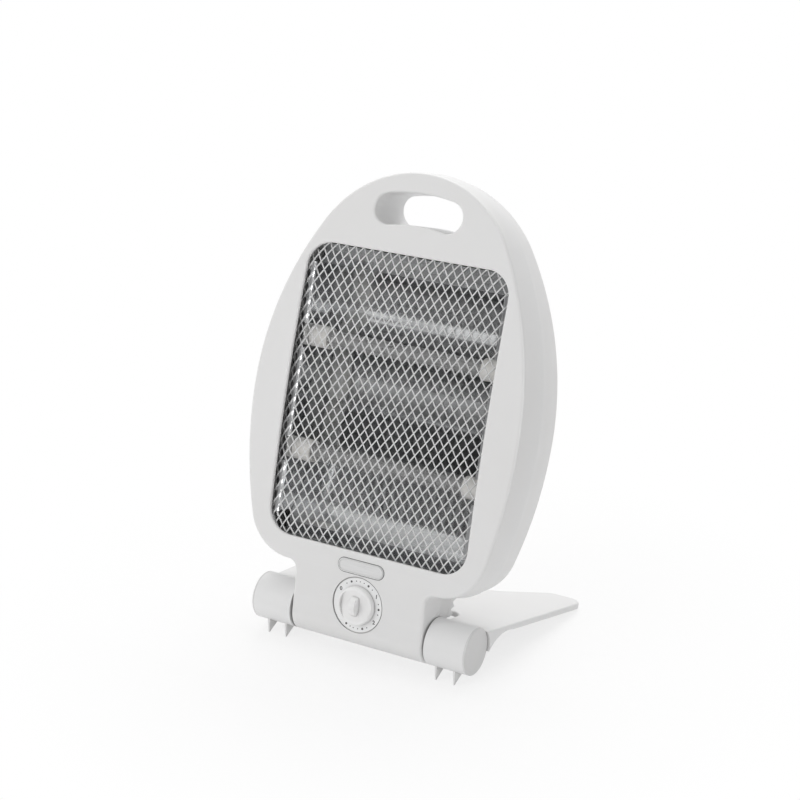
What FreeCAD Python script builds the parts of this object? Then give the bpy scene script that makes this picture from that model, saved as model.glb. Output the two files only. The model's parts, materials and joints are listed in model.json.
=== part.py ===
import FreeCAD, Part
import math
import os
from types import SimpleNamespace

import Sketcher

from FreeCAD import Placement, Rotation, Vector

# A small tilting quartz heater. An egg-shaped case of two moulded shells stands on a hinge
# between the two knuckles of a forked stand. The case is drawn upright in its own frame:
# the origin is on the hinge axis, X runs to the right, Y to the back and Z up the panel.
# The stand is drawn in a like frame, with Y along its deck. Both are leaned at the end.

SIZES = {
    # Case outline from the front, heights above the hinge axis
    "case_half_width": 112.0,
    "case_top": 329.5,
    "widest_height": 155.0,
    "top_radius": 88.0,
    "lower_side_radius": 350.0,
    "shoulder_height": 34.0,
    "shoulder_run": 0.6,
    "neck_half_width": 56.4,
    "notch_radius": 6.0,
    # Case from the side: two bows, both tangent to the barrel round the hinge axis
    "barrel_radius": 17.5,
    "front_bow_radius": 1300.0,
    "rear_bow_radius": 780.0,
    "bow_height": 161.0,
    "front_flare": 2.5,
    "rear_step": 0.6,
    "rear_waist": 1.4,
    "rear_taper": 4.5,
    "wall": 2.5,
    "edge_round": 2.0,
    "rear_round": 5.0,
    # Window and grille
    "window_width": 165.0,
    "window_height": 216.0,
    "window_bottom": 53.0,
    "window_corner": 19.0,
    "window_round": 1.2,
    "grille_rim": 3.0,
    "grille_depth": 1.2,
    "grille_strand": 1.5,
    # Carrying slot, an arched obround
    "slot_height": 302.0,
    "slot_half_height": 11.5,
    "slot_half_run": 24.0,
    "slot_arch_radius": 126.0,
    "slot_round": 1.5,
    "slot_wall": 2.2,
    # Reflector, end plates and heating tubes
    "upper_tube_height": 199.0,
    "lower_tube_height": 114.5,
    "tube_depth": 4.0,
    "tube_radius": 6.0,
    "tube_bore": 4.8,
    "tube_length": 140.0,
    "coil_radius": 3.4,
    "cap_radius": 8.2,
    "cap_length": 19.0,
    "cap_collar_radius": 6.4,
    "cap_socket": 6.0,
    "pin_radius": 1.2,
    "pin_length": 5.0,
    "reflector_half_width": 79.0,
    "sheet": 0.8,
    "trough_back": 16.0,
    "trough_edge": 6.0,
    "trough_top": 253.0,
    "trough_bottom": 60.5,
    "flange_rise": 15.0,
    "flange_drop": 7.0,
    "end_plate": 1.0,
    "end_plate_bottom": 67.5,
    "tab_width": 11.0,
    "tab_height": 12.0,
    # Posts and screws
    "post_radius": 4.5,
    "screw_radius": 1.6,
    "screw_head_radius": 3.2,
    "screw_head_height": 2.2,
    "screw_bite": 12.0,
    "tab_screw_bite": 8.0,
    "side_post_offset": 95.0,
    "side_post_height": 130.0,
    "top_post_offset": 60.0,
    "top_post_height": 282.0,
    "neck_post_offset": 40.0,
    "neck_post_height": 31.0,
    "tab_post_low": 92.0,
    "tab_post_high": 222.0,
    # Back vents
    "vent_length": 70.0,
    "vent_gap": 4.0,
    "vent_pitch": 11.0,
    "vent_low": 96.0,
    "vent_high": 196.0,
    # Dial, knob and rotary switch, along the panel's own normal at the dial
    "dial_height": 14.6,
    "dial_radius": 21.0,
    "dial_groove": 0.9,
    "dial_recess": 1.4,
    "dial_disc": 0.8,
    "knob_radius": 14.3,
    "knob_height": 4.9,
    "knob_round": 1.4,
    "knob_cavity_radius": 8.0,
    "knob_cavity_depth": 1.2,
    "knob_bore_depth": 6.0,
    "dish_radius": 12.5,
    "dish_depth": 2.6,
    "grip_radius": 7.2,
    "grip_width": 5.2,
    "grip_round": 0.6,
    "knob_lift": 0.4,
    "shaft_radius": 2.0,
    "shaft_length": 17.0,
    "bush_radius": 4.5,
    "bush_length": 3.4,
    "nut_across": 11.0,
    "nut_height": 1.0,
    "switch_side": 26.0,
    "switch_depth": 13.0,
    # Blank badge
    "badge_height": 42.0,
    "badge_length": 38.0,
    "badge_width": 10.0,
    "badge_thick": 0.8,
    # Parts in the neck and behind the reflector
    "block_length": 24.0,
    "block_height": 16.0,
    "block_depth": 10.0,
    "block_offset": 29.0,
    "block_screw_radius": 1.8,
    "tilt_length": 18.0,
    "tilt_depth": 12.0,
    "cutout_radius": 7.5,
    "cutout_depth": 5.5,
    "cutout_flange": 1.0,
    "cutout_flange_length": 22.0,
    "cutout_flange_width": 8.0,
    "gland_height": 8.0,
    "gland_radius": 5.5,
    "gland_flange_radius": 8.0,
    "gland_flange": 2.0,
    "gland_bore": 3.3,
    "lead_radius": 0.9,
    "lead_bend": 8.0,
    # Hinge
    "knuckle_gap": 0.5,
    "knuckle_end": 90.2,
    "knuckle_bearing": 13.0,
    "knuckle_hollow": 14.8,
    "knuckle_cap": 1.6,
    "cap_round": 0.8,
    "cap_spigot": 3.0,
    "spigot_wall": 2.0,
    "pry_slot": 1.0,
    "pry_width": 5.0,
    "pivot_radius": 7.0,
    "pivot_bore": 2.2,
    "pivot_seat": 9.0,
    "pivot_washer_radius": 11.0,
    "pivot_washer": 1.2,
    "pivot_head_radius": 4.5,
    "pivot_head": 2.6,
    "pivot_screw_length": 18.0,
    "ratchet_width": 4.0,
    "ratchet_base": 0.8,
    "ratchet_tooth": 4.0,
    "ratchet_low": 14.5,
    "ratchet_pitch": 5.5,
    # Stand, in its own frame
    "deck_top": 12.9,
    "deck_thick": 4.4,
    "deck_round": 1.4,
    "deck_front": 38.0,
    "deck_reach": 147.0,
    "deck_end_half_width": 106.0,
    "deck_corner": 11.0,
    "arch_depth": 101.0,
    "arch_radius": 75.0,
    "arch_inner_corner": 8.0,
    "gusset_low": 3.0,
    "gusset_end": 47.0,
    "gusset_hollow": 30.0,
    "fin_drop": 24.0,
    "fin_front": 12.0,
    "fin_back": 4.0,
    "fin_flat": 0.8,
    "fin_thick": 2.4,
    "fin_tip": 0.8,
    "fin_outer": 11.0,
    "fin_pitch": 15.0,
    # Fits and set-up
    "running_gap": 0.05,
    "press_gap": 0.015,
    "seat_gap": 0.3,
    "overrun": 4.0,
    "lean_angle": 17.6,
}

# Counts
GRILLE_COLUMNS = 13
GRILLE_ROWS = 12
VENT_ROWS = 6
RATCHET_TEETH = 3
NUT_SIDES = 6

# Shares of the sizes that they follow
REAR_WAIST_SHARE = 0.5
GUSSET_HOLLOW_SHARE = 0.35
BLOCK_HOLE_SHARE = 0.25
RATCHET_TIP_SHARE = 0.35

X_AXIS = Vector(1, 0, 0)
Y_AXIS = Vector(0, 1, 0)
Z_AXIS = Vector(0, 0, 1)

doc = FreeCAD.newDocument("quartz_heater")
sheet = doc.addObject("Spreadsheet::Sheet", "Sizes")
for row, (alias, value) in enumerate(SIZES.items(), start=1):
    sheet.set(f"A{row}", alias)
    sheet.set(f"B{row}", str(value))
    sheet.setAlias(f"B{row}", alias)
doc.recompute()
size = SimpleNamespace(**{alias: float(sheet.get(alias)) for alias in SIZES})

case_pieces = []
stand_pieces = []


def unit(across, up):
    """Unit direction in a plane, as a pair."""
    length = math.hypot(across, up)
    return across / length, up / length


def between(first, second):
    """Unit direction halfway between two directions."""
    return unit(first[0] + second[0], first[1] + second[1])


def arc_about(centre, radius, start, end, place):
    """Arc about a centre from one direction to another, by the shorter way."""
    middle = between(start, end)
    points = [
        place(centre[0] + radius * way[0], centre[1] + radius * way[1])
        for way in (start, middle, end)
    ]
    return Part.Arc(*points).toShape()


def line(start, end):
    return Part.LineSegment(start, end).toShape()


def loop(corners, place):
    """Closed wire through corners given as across, up and corner radius."""
    count = len(corners)
    edges = []
    joints = []
    for index, (across, up, radius) in enumerate(corners):
        before = corners[index - 1]
        after = corners[(index + 1) % count]
        inward = unit(before[0] - across, before[1] - up)
        outward = unit(after[0] - across, after[1] - up)
        if radius == 0:
            joints.append((place(across, up), None, place(across, up)))
            continue
        cosine = inward[0] * outward[0] + inward[1] * outward[1]
        half_turn = math.acos(cosine) / 2
        setback = radius / math.tan(half_turn)
        bisector = between(inward, outward)
        to_arc = radius / math.sin(half_turn) - radius
        joints.append((
            place(across + setback * inward[0], up + setback * inward[1]),
            place(across + to_arc * bisector[0], up + to_arc * bisector[1]),
            place(across + setback * outward[0], up + setback * outward[1]),
        ))
    for index, (start, middle, end) in enumerate(joints):
        if middle is not None:
            edges.append(Part.Arc(start, middle, end).toShape())
        following = joints[(index + 1) % count][0]
        if end.distanceToPoint(following) > Part.Precision.confusion():
            edges.append(line(end, following))
    return Part.Wire(edges)


def on_front(depth):
    """Placing function for a plane across the case at one depth."""
    return lambda across, up: Vector(across, depth, up)


def on_side(offset):
    """Placing function for a plane along the case at one offset to the right."""
    return lambda back, up: Vector(offset, back, up)


def prism(wire, way):
    return Part.Face(wire).extrude(way)


def rod(centre, axis, radius, length):
    return Part.makeCylinder(radius, length, centre, axis)


def block(low, high):
    return Part.makeBox(high.x - low.x, high.y - low.y, high.z - low.z, low)


def mirrored(shape):
    return shape.mirror(Vector(0, 0, 0), X_AXIS)


def feature(label, shape, group):
    """A sub-part whose solid is set from code."""
    item = doc.addObject("Part::Feature", label)
    item.Label = label
    item.Shape = shape
    group.append(item)
    return item


def bind(item, **formulas):
    for prop, formula in formulas.items():
        item.setExpression(prop, formula)
    return item


def bound_cylinder(name, radius, height, base, axis):
    item = bind(doc.addObject("Part::Cylinder", name), Radius=radius, Height=height)
    item.Placement = Placement(base, Rotation(Z_AXIS, axis))
    return item


def bound_box(name, length, width, height, base):
    item = bind(doc.addObject("Part::Box", name), Length=length, Width=width, Height=height)
    item.Placement = Placement(base, Rotation())
    return item


def fused(name, *tools):
    item = doc.addObject("Part::MultiFuse", name)
    item.Shapes = list(tools)
    return item


def cut(name, base, tool):
    item = doc.addObject("Part::Cut", name)
    item.Base = base
    item.Tool = tool
    return item


def finish(label, item, group):
    item.Label = label
    group.append(item)
    return item


# Case outline: the centres and radii of its arcs, right half
top_centre = (0, size.case_top - size.top_radius)
top_spare = size.case_half_width - size.top_radius
top_rise = top_centre[1] - size.widest_height
upper_offset = (top_rise ** 2 - top_spare ** 2) / (2 * top_spare)
upper_centre = (-upper_offset, size.widest_height)
lower_centre = (size.case_half_width - size.lower_side_radius, size.widest_height)
notch_centre = (size.neck_half_width + size.notch_radius, size.shoulder_height - size.notch_radius)
corner_across = notch_centre[0] + size.shoulder_run
corner_span = corner_across - lower_centre[0]
corner_drop = size.widest_height - size.shoulder_height
corner_radius = (size.lower_side_radius ** 2 - corner_span ** 2 - corner_drop ** 2) / (
    2 * (size.lower_side_radius - corner_drop)
)
corner_centre = (corner_across, size.shoulder_height + corner_radius)
UP, DOWN, RIGHT, LEFT = (0, 1), (0, -1), (1, 0), (-1, 0)
top_turn = unit(top_centre[0] - upper_centre[0], top_centre[1] - upper_centre[1])
corner_turn = unit(corner_centre[0] - lower_centre[0], corner_centre[1] - lower_centre[1])


def case_outline(inset, depth):
    """Closed outline of case and neck, drawn in by an inset, at one depth."""
    foot = -size.barrel_radius - size.overrun
    side = size.neck_half_width - inset

    def right(across, up):
        return Vector(across, depth, up)

    def left(across, up):
        return Vector(-across, depth, up)

    def flank(place):
        upper = upper_offset + size.case_half_width - inset
        lower = size.lower_side_radius - inset
        bottom = (corner_across, size.shoulder_height + inset)
        notch_top = (notch_centre[0], size.shoulder_height + inset)
        return [
            arc_about(upper_centre, upper, top_turn, RIGHT, place),
            arc_about(lower_centre, lower, RIGHT, corner_turn, place),
            arc_about(corner_centre, corner_radius - inset, corner_turn, DOWN, place),
            line(place(*bottom), place(*notch_top)),
            arc_about(notch_centre, size.notch_radius + inset, UP, LEFT, place),
            line(place(side, notch_centre[1]), place(side, foot)),
        ]

    crown_radius = size.top_radius - inset
    crown = Part.Arc(
        left(top_centre[0] + crown_radius * top_turn[0], top_centre[1] + crown_radius * top_turn[1]),
        right(top_centre[0], top_centre[1] + crown_radius),
        right(top_centre[0] + crown_radius * top_turn[0], top_centre[1] + crown_radius * top_turn[1]),
    ).toShape()
    base = line(right(side, foot), left(side, foot))
    return Part.Wire([crown] + flank(right) + [base] + flank(left)[::-1])


# Case side view: each bow's centre, and its direction at the barrel
front_span = size.front_bow_radius - size.barrel_radius
rear_span = size.rear_bow_radius - size.barrel_radius
front_centre = (math.sqrt(front_span ** 2 - size.bow_height ** 2), size.bow_height)
rear_centre = (-math.sqrt(rear_span ** 2 - size.bow_height ** 2), size.bow_height)
front_bulge = size.front_bow_radius - front_centre[0]
rear_bulge = size.rear_bow_radius + rear_centre[0]


def front_face(height, shrink=0.0):
    """How far back the front bow is at one height."""
    radius = size.front_bow_radius - shrink
    return front_centre[0] - math.sqrt(radius ** 2 - (height - size.bow_height) ** 2)


def rear_face(height, shrink=0.0):
    """How far back the rear bow is at one height."""
    radius = size.rear_bow_radius - shrink
    return rear_centre[0] + math.sqrt(radius ** 2 - (height - size.bow_height) ** 2)


def side_prism(shrink):
    """The case's side view, drawn in by a wall, as a prism right across the case."""
    half = size.case_half_width + size.overrun
    place = on_side(-half)
    barrel = size.barrel_radius - shrink
    peak = size.case_top + size.overrun
    front_way = unit(-front_centre[0], -front_centre[1])
    rear_way = unit(-rear_centre[0], -rear_centre[1])
    front_top = (front_face(peak, shrink), peak)
    rear_top = (rear_face(peak, shrink), peak)
    front_start = unit(front_top[0] - front_centre[0], front_top[1] - front_centre[1])
    rear_start = unit(rear_top[0] - rear_centre[0], rear_top[1] - rear_centre[1])
    wire = Part.Wire([
        arc_about(front_centre, size.front_bow_radius - shrink, front_start, front_way, place),
        arc_about((0, 0), barrel, front_way, DOWN, place),
        arc_about((0, 0), barrel, DOWN, rear_way, place),
        arc_about(rear_centre, size.rear_bow_radius - shrink, rear_way, rear_start, place),
        line(place(*rear_top), place(*front_top)),
    ])
    return prism(wire, X_AXIS * (2 * half))


def front_form(shrink):
    """Front half of the case: the outline flares from the front back to the seam."""
    reach = front_bulge + size.overrun
    ends = [case_outline(shrink, 0), case_outline(shrink + size.front_flare, -reach)]
    return Part.makeLoft(ends, True, True).common(side_prism(shrink))


def rear_form(shrink):
    """Rear half of the case: the outline draws in towards the back."""
    reach = rear_bulge + size.overrun
    sections = [
        case_outline(shrink + size.rear_step, 0),
        case_outline(shrink + size.rear_step + size.rear_waist, reach * REAR_WAIST_SHARE),
        case_outline(shrink + size.rear_step + size.rear_taper, reach),
    ]
    return Part.makeLoft(sections, True, False).common(side_prism(shrink))


def slot_outline(grow, depth):
    """Arched obround of the carrying slot, grown by an offset."""
    place = on_front(depth)
    centre = (0, size.slot_height - size.slot_arch_radius)
    half = size.slot_half_height + grow
    tilt = size.slot_half_run / size.slot_arch_radius
    right_way = (tilt, math.sqrt(1 - tilt ** 2))
    left_way = (-right_way[0], right_way[1])
    right_end = (centre[0] + size.slot_arch_radius * right_way[0],
                 centre[1] + size.slot_arch_radius * right_way[1])
    left_end = (-right_end[0], right_end[1])
    right_out = (right_way[1], -right_way[0])
    left_out = (-right_out[0], right_out[1])

    def end_cap(middle, start, out):
        return Part.Arc(
            place(middle[0] + half * start[0], middle[1] + half * start[1]),
            place(middle[0] + half * out[0], middle[1] + half * out[1]),
            place(middle[0] - half * start[0], middle[1] - half * start[1]),
        ).toShape()

    return Part.Wire([
        arc_about(centre, size.slot_arch_radius + half, left_way, right_way, place),
        end_cap(right_end, right_way, right_out),
        arc_about(centre, size.slot_arch_radius - half, right_way, left_way, place),
        end_cap(left_end, left_way, left_out),
    ])


def window_outline(grow, depth):
    half = size.window_width / 2 + grow
    low = size.window_bottom - grow
    high = size.window_bottom + size.window_height + grow
    radius = size.window_corner + grow
    corners = [(-half, low, radius), (half, low, radius), (half, high, radius), (-half, high, radius)]
    return loop(corners, on_front(depth))


def bow_frame(back, up, centre):
    """Frame on a bow of the case: Z points out along the bow's normal, X to the right."""
    normal = Vector(0, back - centre[0], up - centre[1]).normalize()
    return Placement(Vector(0, back, up), Rotation(X_AXIS, normal.cross(X_AXIS), normal, "ZXY"))


dial_frame = bow_frame(front_face(size.dial_height), size.dial_height, front_centre)
gland_frame = bow_frame(rear_face(size.gland_height), size.gland_height, rear_centre)
disc_face = size.dial_disc - size.dial_recess
knob_base = disc_face + size.knob_lift
switch_face = -size.wall - size.seat_gap
shaft_top = knob_base + size.knob_bore_depth - size.seat_gap


def placed(shape, frame):
    """Move a shape from a frame on the case to the case's own frame."""
    moved = shape.copy()
    moved.Placement = frame.multiply(shape.Placement)
    return moved


def nearest(shape, picks):
    """Edges of a shape that pass a test at their middle point."""
    return [edge for edge in shape.Edges if picks(edge)]


def edge_middle(edge):
    return edge.valueAt((edge.FirstParameter + edge.LastParameter) / 2)


case_posts = [
    (side * across, up)
    for side in (-1, 1)
    for across, up in (
        (size.side_post_offset, size.side_post_height),
        (size.top_post_offset, size.top_post_height),
        (size.neck_post_offset, size.neck_post_height),
    )
]
tab_across = size.reflector_half_width + size.seat_gap + size.end_plate + size.tab_width / 2
tab_posts = [
    (side * tab_across, up) for side in (-1, 1) for up in (size.tab_post_low, size.tab_post_high)
]
tab_back = size.trough_back + size.sheet
neck_bay = size.neck_half_width - size.pivot_seat
pivot_hole = size.pivot_radius + size.press_gap


def pivot_blocks(form):
    """The solid ends of the neck that hold the hinge sleeves."""
    tall = size.shoulder_height - size.notch_radius
    ends = []
    for side in (-1, 1):
        inner = side * neck_bay
        outer = side * (size.neck_half_width + size.overrun)
        low = Vector(min(inner, outer), -size.case_half_width, -size.barrel_radius - size.overrun)
        high = Vector(max(inner, outer), size.case_half_width, tall - size.barrel_radius)
        ends.append(form.common(block(low, high)))
    return ends


def bow_rim(form, radius):
    """Edges round a bow of the case, without the line where it meets the barrel."""
    bow = [face for face in form.Faces if face.Surface.TypeId == "Part::GeomCylinder"
           and abs(face.Surface.Radius - radius) < size.running_gap]
    return [edge for edge in bow[0].OuterWire.Edges
            if abs(edge.tangentAt(edge.FirstParameter).x) < 1 - size.running_gap
            or edge_middle(edge).z > size.shoulder_height]


def on_front_bow(point):
    reach = math.hypot(point.y - front_centre[0], point.z - front_centre[1])
    return abs(reach - size.front_bow_radius) < size.running_gap


def at_window(edge):
    point = edge_middle(edge)
    half = size.window_width / 2 + size.running_gap
    middle = size.window_bottom + size.window_height / 2
    return (on_front_bow(point) and abs(point.x) < half
            and abs(point.z - middle) < size.window_height / 2 + size.running_gap)


def at_slot(edge):
    point = edge_middle(edge)
    half = size.slot_half_run + size.slot_half_height + size.running_gap
    return (on_front_bow(point) and abs(point.x) < half
            and abs(point.z - size.slot_height) < size.slot_half_height + size.slot_round)


def make_front_panel():
    """Front shell with its window, slot collar, dial recess and screw posts."""
    form = front_form(0)
    form = form.makeFillet(size.edge_round, bow_rim(form, size.front_bow_radius))
    shell = form.cut(front_form(size.wall))
    far = front_bulge + size.overrun
    window = prism(window_outline(0, -far), Y_AXIS * far)
    slot = prism(slot_outline(0, -far), Y_AXIS * (far + size.overrun))
    collar = prism(slot_outline(size.slot_wall, -far), Y_AXIS * far).common(form)
    posts = [rod(Vector(across, 0, up), Y_AXIS * -1, size.post_radius, far).common(form)
             for across, up in case_posts]
    shell = shell.multiFuse([collar] + posts + pivot_blocks(form))
    recess = placed(rod(Vector(0, 0, -size.dial_recess), Z_AXIS, size.dial_radius, far), dial_frame)
    bush_hole = placed(rod(Vector(0, 0, -far), Z_AXIS, size.bush_radius + size.running_gap, far), dial_frame)
    pilots = [rod(Vector(across, 0, up), Y_AXIS * -1, size.screw_radius, size.screw_bite)
              for across, up in case_posts]
    sleeve = rod(Vector(-size.case_half_width, 0, 0), X_AXIS, pivot_hole, 2 * size.case_half_width)
    shell = shell.cut(window.multiFuse([slot, recess, bush_hole, sleeve] + pilots))
    seat = prism(badge_outline(size.running_gap, -far), Y_AXIS * far)
    badge_floor = front_form(size.badge_thick / 2)
    shell = shell.cut(seat.cut(badge_floor))
    shell = shell.makeFillet(size.window_round, nearest(shell, at_window))
    return shell.makeFillet(size.slot_round, nearest(shell, at_slot))


def badge_outline(grow, depth):
    half = size.badge_length / 2 + grow
    reach = size.badge_width / 2 + grow
    low, high = size.badge_height - reach, size.badge_height + reach
    radius = reach - size.running_gap
    corners = [(-half, low, radius), (half, low, radius), (half, high, radius), (-half, high, radius)]
    return loop(corners, on_front(depth))


def make_badge():
    """Blank oval plate let into the panel, half proud of it."""
    far = front_bulge + size.overrun
    plate = prism(badge_outline(0, -far), Y_AXIS * far)
    return plate.common(front_form(-size.badge_thick / 2)).cut(front_form(size.badge_thick / 2))


def rounded_rear_form(shrink):
    """Rear half of the case with the edge of its bow rounded."""
    form = rear_form(shrink)
    return form.makeFillet(size.rear_round, bow_rim(form, size.rear_bow_radius - shrink))


def make_rear_shell():
    """Rear shell with its slot collar, posts, vents and inlet hole."""
    form = rounded_rear_form(0)
    far = rear_bulge + size.overrun
    shell = form.cut(rear_form(size.wall))
    slot = prism(slot_outline(0, -size.overrun), Y_AXIS * (far + size.overrun))
    collar = prism(slot_outline(size.slot_wall, 0), Y_AXIS * far).common(form)
    seats = [rod(Vector(across, 0, up), Y_AXIS, size.post_radius, far) for across, up in case_posts]
    seats += [rod(Vector(across, tab_back, up), Y_AXIS, size.post_radius, far)
              for across, up in tab_posts]
    seats += [rod(Vector(block_across, block_back, block_up), Y_AXIS, size.post_radius, far)
              for block_across, block_back, block_up in module_seats]
    shell = shell.multiFuse([collar] + [seat.common(form) for seat in seats] + pivot_blocks(form))
    holes = [slot]
    for across, up in case_posts:
        head_seat = rear_face(up) - size.wall
        holes.append(rod(Vector(across, 0, up), Y_AXIS, size.screw_radius + size.running_gap, far))
        holes.append(rod(Vector(across, head_seat, up), Y_AXIS,
                         size.screw_head_radius + size.seat_gap, far))
    holes += [rod(Vector(across, tab_back, up), Y_AXIS, size.screw_radius, size.tab_screw_bite)
              for across, up in tab_posts]
    holes.append(rod(Vector(-size.case_half_width, 0, 0), X_AXIS, pivot_hole,
                     2 * size.case_half_width))
    holes.append(placed(rod(Vector(0, 0, -size.overrun), Z_AXIS,
                            size.gland_radius + size.running_gap, far), gland_frame))
    half = size.vent_length / 2
    for start in (size.vent_low, size.vent_high):
        for step in range(VENT_ROWS):
            low = start + step * size.vent_pitch - size.vent_gap / 2
            corners = [(-half, low, 0), (half, low, 0),
                       (half, low + size.vent_gap, 0), (-half, low + size.vent_gap, 0)]
            vent = prism(loop(corners, on_front(tab_back)), Y_AXIS * far)
            holes.append(vent)
    return shell.cut(holes[0].multiFuse(holes[1:]))


# Modules on posts of the rear shell: the offset, back face and height of each
block_face = rear_face(size.gland_height) - size.wall - size.screw_head_height
module_seats = [
    (size.block_offset, block_face, size.gland_height),
    (-size.block_offset, block_face, size.gland_height),
]


def make_grille():
    """Wire guard as one flat net: a rim and rows of diamond gaps."""
    front = grille_front
    columns = GRILLE_COLUMNS
    rows = GRILLE_ROWS
    pitch_across = size.window_width / columns
    pitch_up = size.window_height / rows
    strand = size.grille_strand / 2
    half_across = pitch_across / 2
    half_up = pitch_up / 2
    slope = math.hypot(half_across, half_up)
    gap_across = half_across - strand * slope / half_up
    gap_up = half_up - strand * slope / half_across
    centre_up = size.window_bottom + size.window_height / 2
    place = on_front(front)
    gaps = []
    for shift in (0, 1):
        for column in range(columns - shift):
            for line_up in range(rows - shift):
                across = (column - (columns - 1 - shift) / 2) * pitch_across
                up = centre_up + (line_up - (rows - 1 - shift) / 2) * pitch_up
                corners = [(across - gap_across, up, 0), (across, up - gap_up, 0),
                           (across + gap_across, up, 0), (across, up + gap_up, 0)]
                gaps.append(corners)
    half_width = size.window_width / 2 - size.window_corner
    low = size.window_bottom + size.window_corner
    high = size.window_bottom + size.window_height - size.window_corner

    def inside(corners):
        for across, up, _ in corners:
            over_across = max(abs(across) - half_width, 0)
            over_up = max(low - up, up - high, 0)
            if math.hypot(over_across, over_up) > size.window_corner:
                return False
        return True

    wires = [loop(corners, place) for corners in gaps if inside(corners)]
    face = Part.makeFace([window_outline(size.grille_rim, front)] + wires, "Part::FaceMakerBullseye")
    print("grille gaps:", len(wires))
    return face.extrude(Y_AXIS * size.grille_depth)


grille_top = size.window_bottom + size.window_height + size.grille_rim
grille_low = size.window_bottom - size.grille_rim
grille_front = max(front_face(grille_top, size.wall), front_face(grille_low, size.wall)) + size.seat_gap
grille_back = grille_front + size.grille_depth
tube_heights = {"upper": size.upper_tube_height, "lower": size.lower_tube_height}


def make_reflector():
    """Polished sheet bent into a trough behind each tube, with a flange above and below."""
    half = size.reflector_half_width
    front = grille_back + size.seat_gap
    ridge = (size.upper_tube_height + size.lower_tube_height) / 2

    def path(back, turn):
        place = on_side(-half)
        edge = -size.trough_edge + back
        deep = size.trough_back + back
        top = (edge, size.trough_top)
        low = (edge, size.trough_bottom)
        top_lip = (front, size.trough_top + size.flange_rise + turn)
        low_lip = (front, size.trough_bottom - size.flange_drop - turn)
        upper = Part.Arc(place(*top), place(deep, size.upper_tube_height), place(edge, ridge))
        lower = Part.Arc(place(edge, ridge), place(deep, size.lower_tube_height), place(*low))
        return [
            line(place(*top_lip), place(*top)),
            upper.toShape(),
            lower.toShape(),
            line(place(*low), place(*low_lip)),
        ]

    inner = path(0, 0)
    outer = path(size.sheet, size.sheet)
    ends = [line(inner[0].valueAt(inner[0].FirstParameter), outer[0].valueAt(outer[0].FirstParameter)),
            line(inner[-1].valueAt(inner[-1].LastParameter), outer[-1].valueAt(outer[-1].LastParameter))]
    wire = Part.Wire(Part.sortEdges(inner + outer + ends)[0])
    return prism(wire, X_AXIS * (2 * half))


def make_end_plate():
    """Right end plate of the reflector, with two screw tabs bent outwards."""
    inner = size.reflector_half_width + size.seat_gap
    outer = inner + size.end_plate
    front = grille_back + size.seat_gap
    low, high = size.end_plate_bottom, size.trough_top
    plate = block(Vector(inner, front, low), Vector(outer, tab_back, high))
    for up in (size.tab_post_low, size.tab_post_high):
        tab = block(Vector(inner, tab_back - size.end_plate, up - size.tab_height / 2),
                    Vector(outer + size.tab_width, tab_back, up + size.tab_height / 2))
        plate = plate.fuse(tab)
        plate = plate.cut(rod(Vector(tab_across, 0, up), Y_AXIS, size.screw_radius + size.running_gap,
                              tab_back + size.overrun))
    for up in tube_heights.values():
        plate = plate.cut(rod(Vector(0, -size.tube_depth, up), X_AXIS,
                              size.cap_collar_radius + size.running_gap, outer + size.overrun))
    return plate.removeSplitter()


def make_leads():
    """Two bare leads that join the tube ends on each side, down to the neck."""
    wires = []
    for side in (-1, 1):
        across = side * (cap_end + size.pin_length + size.lead_radius)
        inner = side * size.block_offset
        deep = block_face - size.block_depth / 2
        foot = size.gland_height + size.block_height / 2 + size.lead_radius
        points = [
            Vector(across, -size.tube_depth, size.upper_tube_height + size.pin_radius),
            Vector(across, -size.tube_depth, size.trough_bottom),
            Vector(inner, deep, size.shoulder_height),
            Vector(inner, deep, foot - size.lead_radius),
        ]
        wires.append(bent_tube(points, size.lead_radius, size.lead_bend))
    return Part.makeCompound(wires)


def bent_tube(points, radius, bend):
    """Round tube along straight runs joined by tangent arcs."""
    edges = []
    start = points[0]
    for before, corner, after in zip(points, points[1:], points[2:]):
        inward = (before - corner).normalize()
        outward = (after - corner).normalize()
        half_turn = inward.getAngle(outward) / 2
        setback = bend / math.tan(half_turn)
        to_arc = bend / math.sin(half_turn) - bend
        bisector = (inward + outward).normalize()
        first = corner + inward * setback
        last = corner + outward * setback
        edges.append(line(start, first))
        edges.append(Part.Arc(first, corner + bisector * to_arc, last).toShape())
        start = last
    edges.append(line(start, points[-1]))
    path = Part.Wire(edges)
    section = Part.Wire(Part.Circle(points[0], points[1] - points[0], radius).toShape())
    return path.makePipeShell([section], True, False)


def make_ratchet():
    """Saw-toothed strip let on to the back of the neck, at its right edge."""
    right = size.neck_half_width - size.rear_step - size.rear_waist
    place = on_side(right - size.ratchet_width)
    peak = size.ratchet_low + RATCHET_TEETH * size.ratchet_pitch
    points = [place(rear_face(size.ratchet_low) - size.rear_round, size.ratchet_low)]
    for tooth in range(RATCHET_TEETH):
        low = size.ratchet_low + tooth * size.ratchet_pitch
        tip = low + size.ratchet_pitch * RATCHET_TIP_SHARE
        points.append(place(rear_face(low) + size.ratchet_base, low))
        points.append(place(rear_face(tip) + size.ratchet_base + size.ratchet_tooth, tip))
    points.append(place(rear_face(peak) + size.ratchet_base, peak))
    points.append(place(rear_face(peak) - size.rear_round, peak))
    strip = prism(Part.makePolygon(points + points[:1]), X_AXIS * size.ratchet_width)
    return strip.cut(rounded_rear_form(-size.press_gap))


def case_screws():
    """Six screws that pull the rear shell to the front posts."""
    screws = []
    for across, up in case_posts:
        seat = rear_face(up) - size.wall
        head = rod(Vector(across, seat, up), Y_AXIS, size.screw_head_radius, size.screw_head_height)
        reach = seat + size.screw_bite - size.seat_gap
        shank = rod(Vector(across, seat, up), Y_AXIS * -1, size.screw_radius - size.running_gap, reach)
        screws.append(head.fuse(shank))
    return Part.makeCompound(screws)


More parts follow.
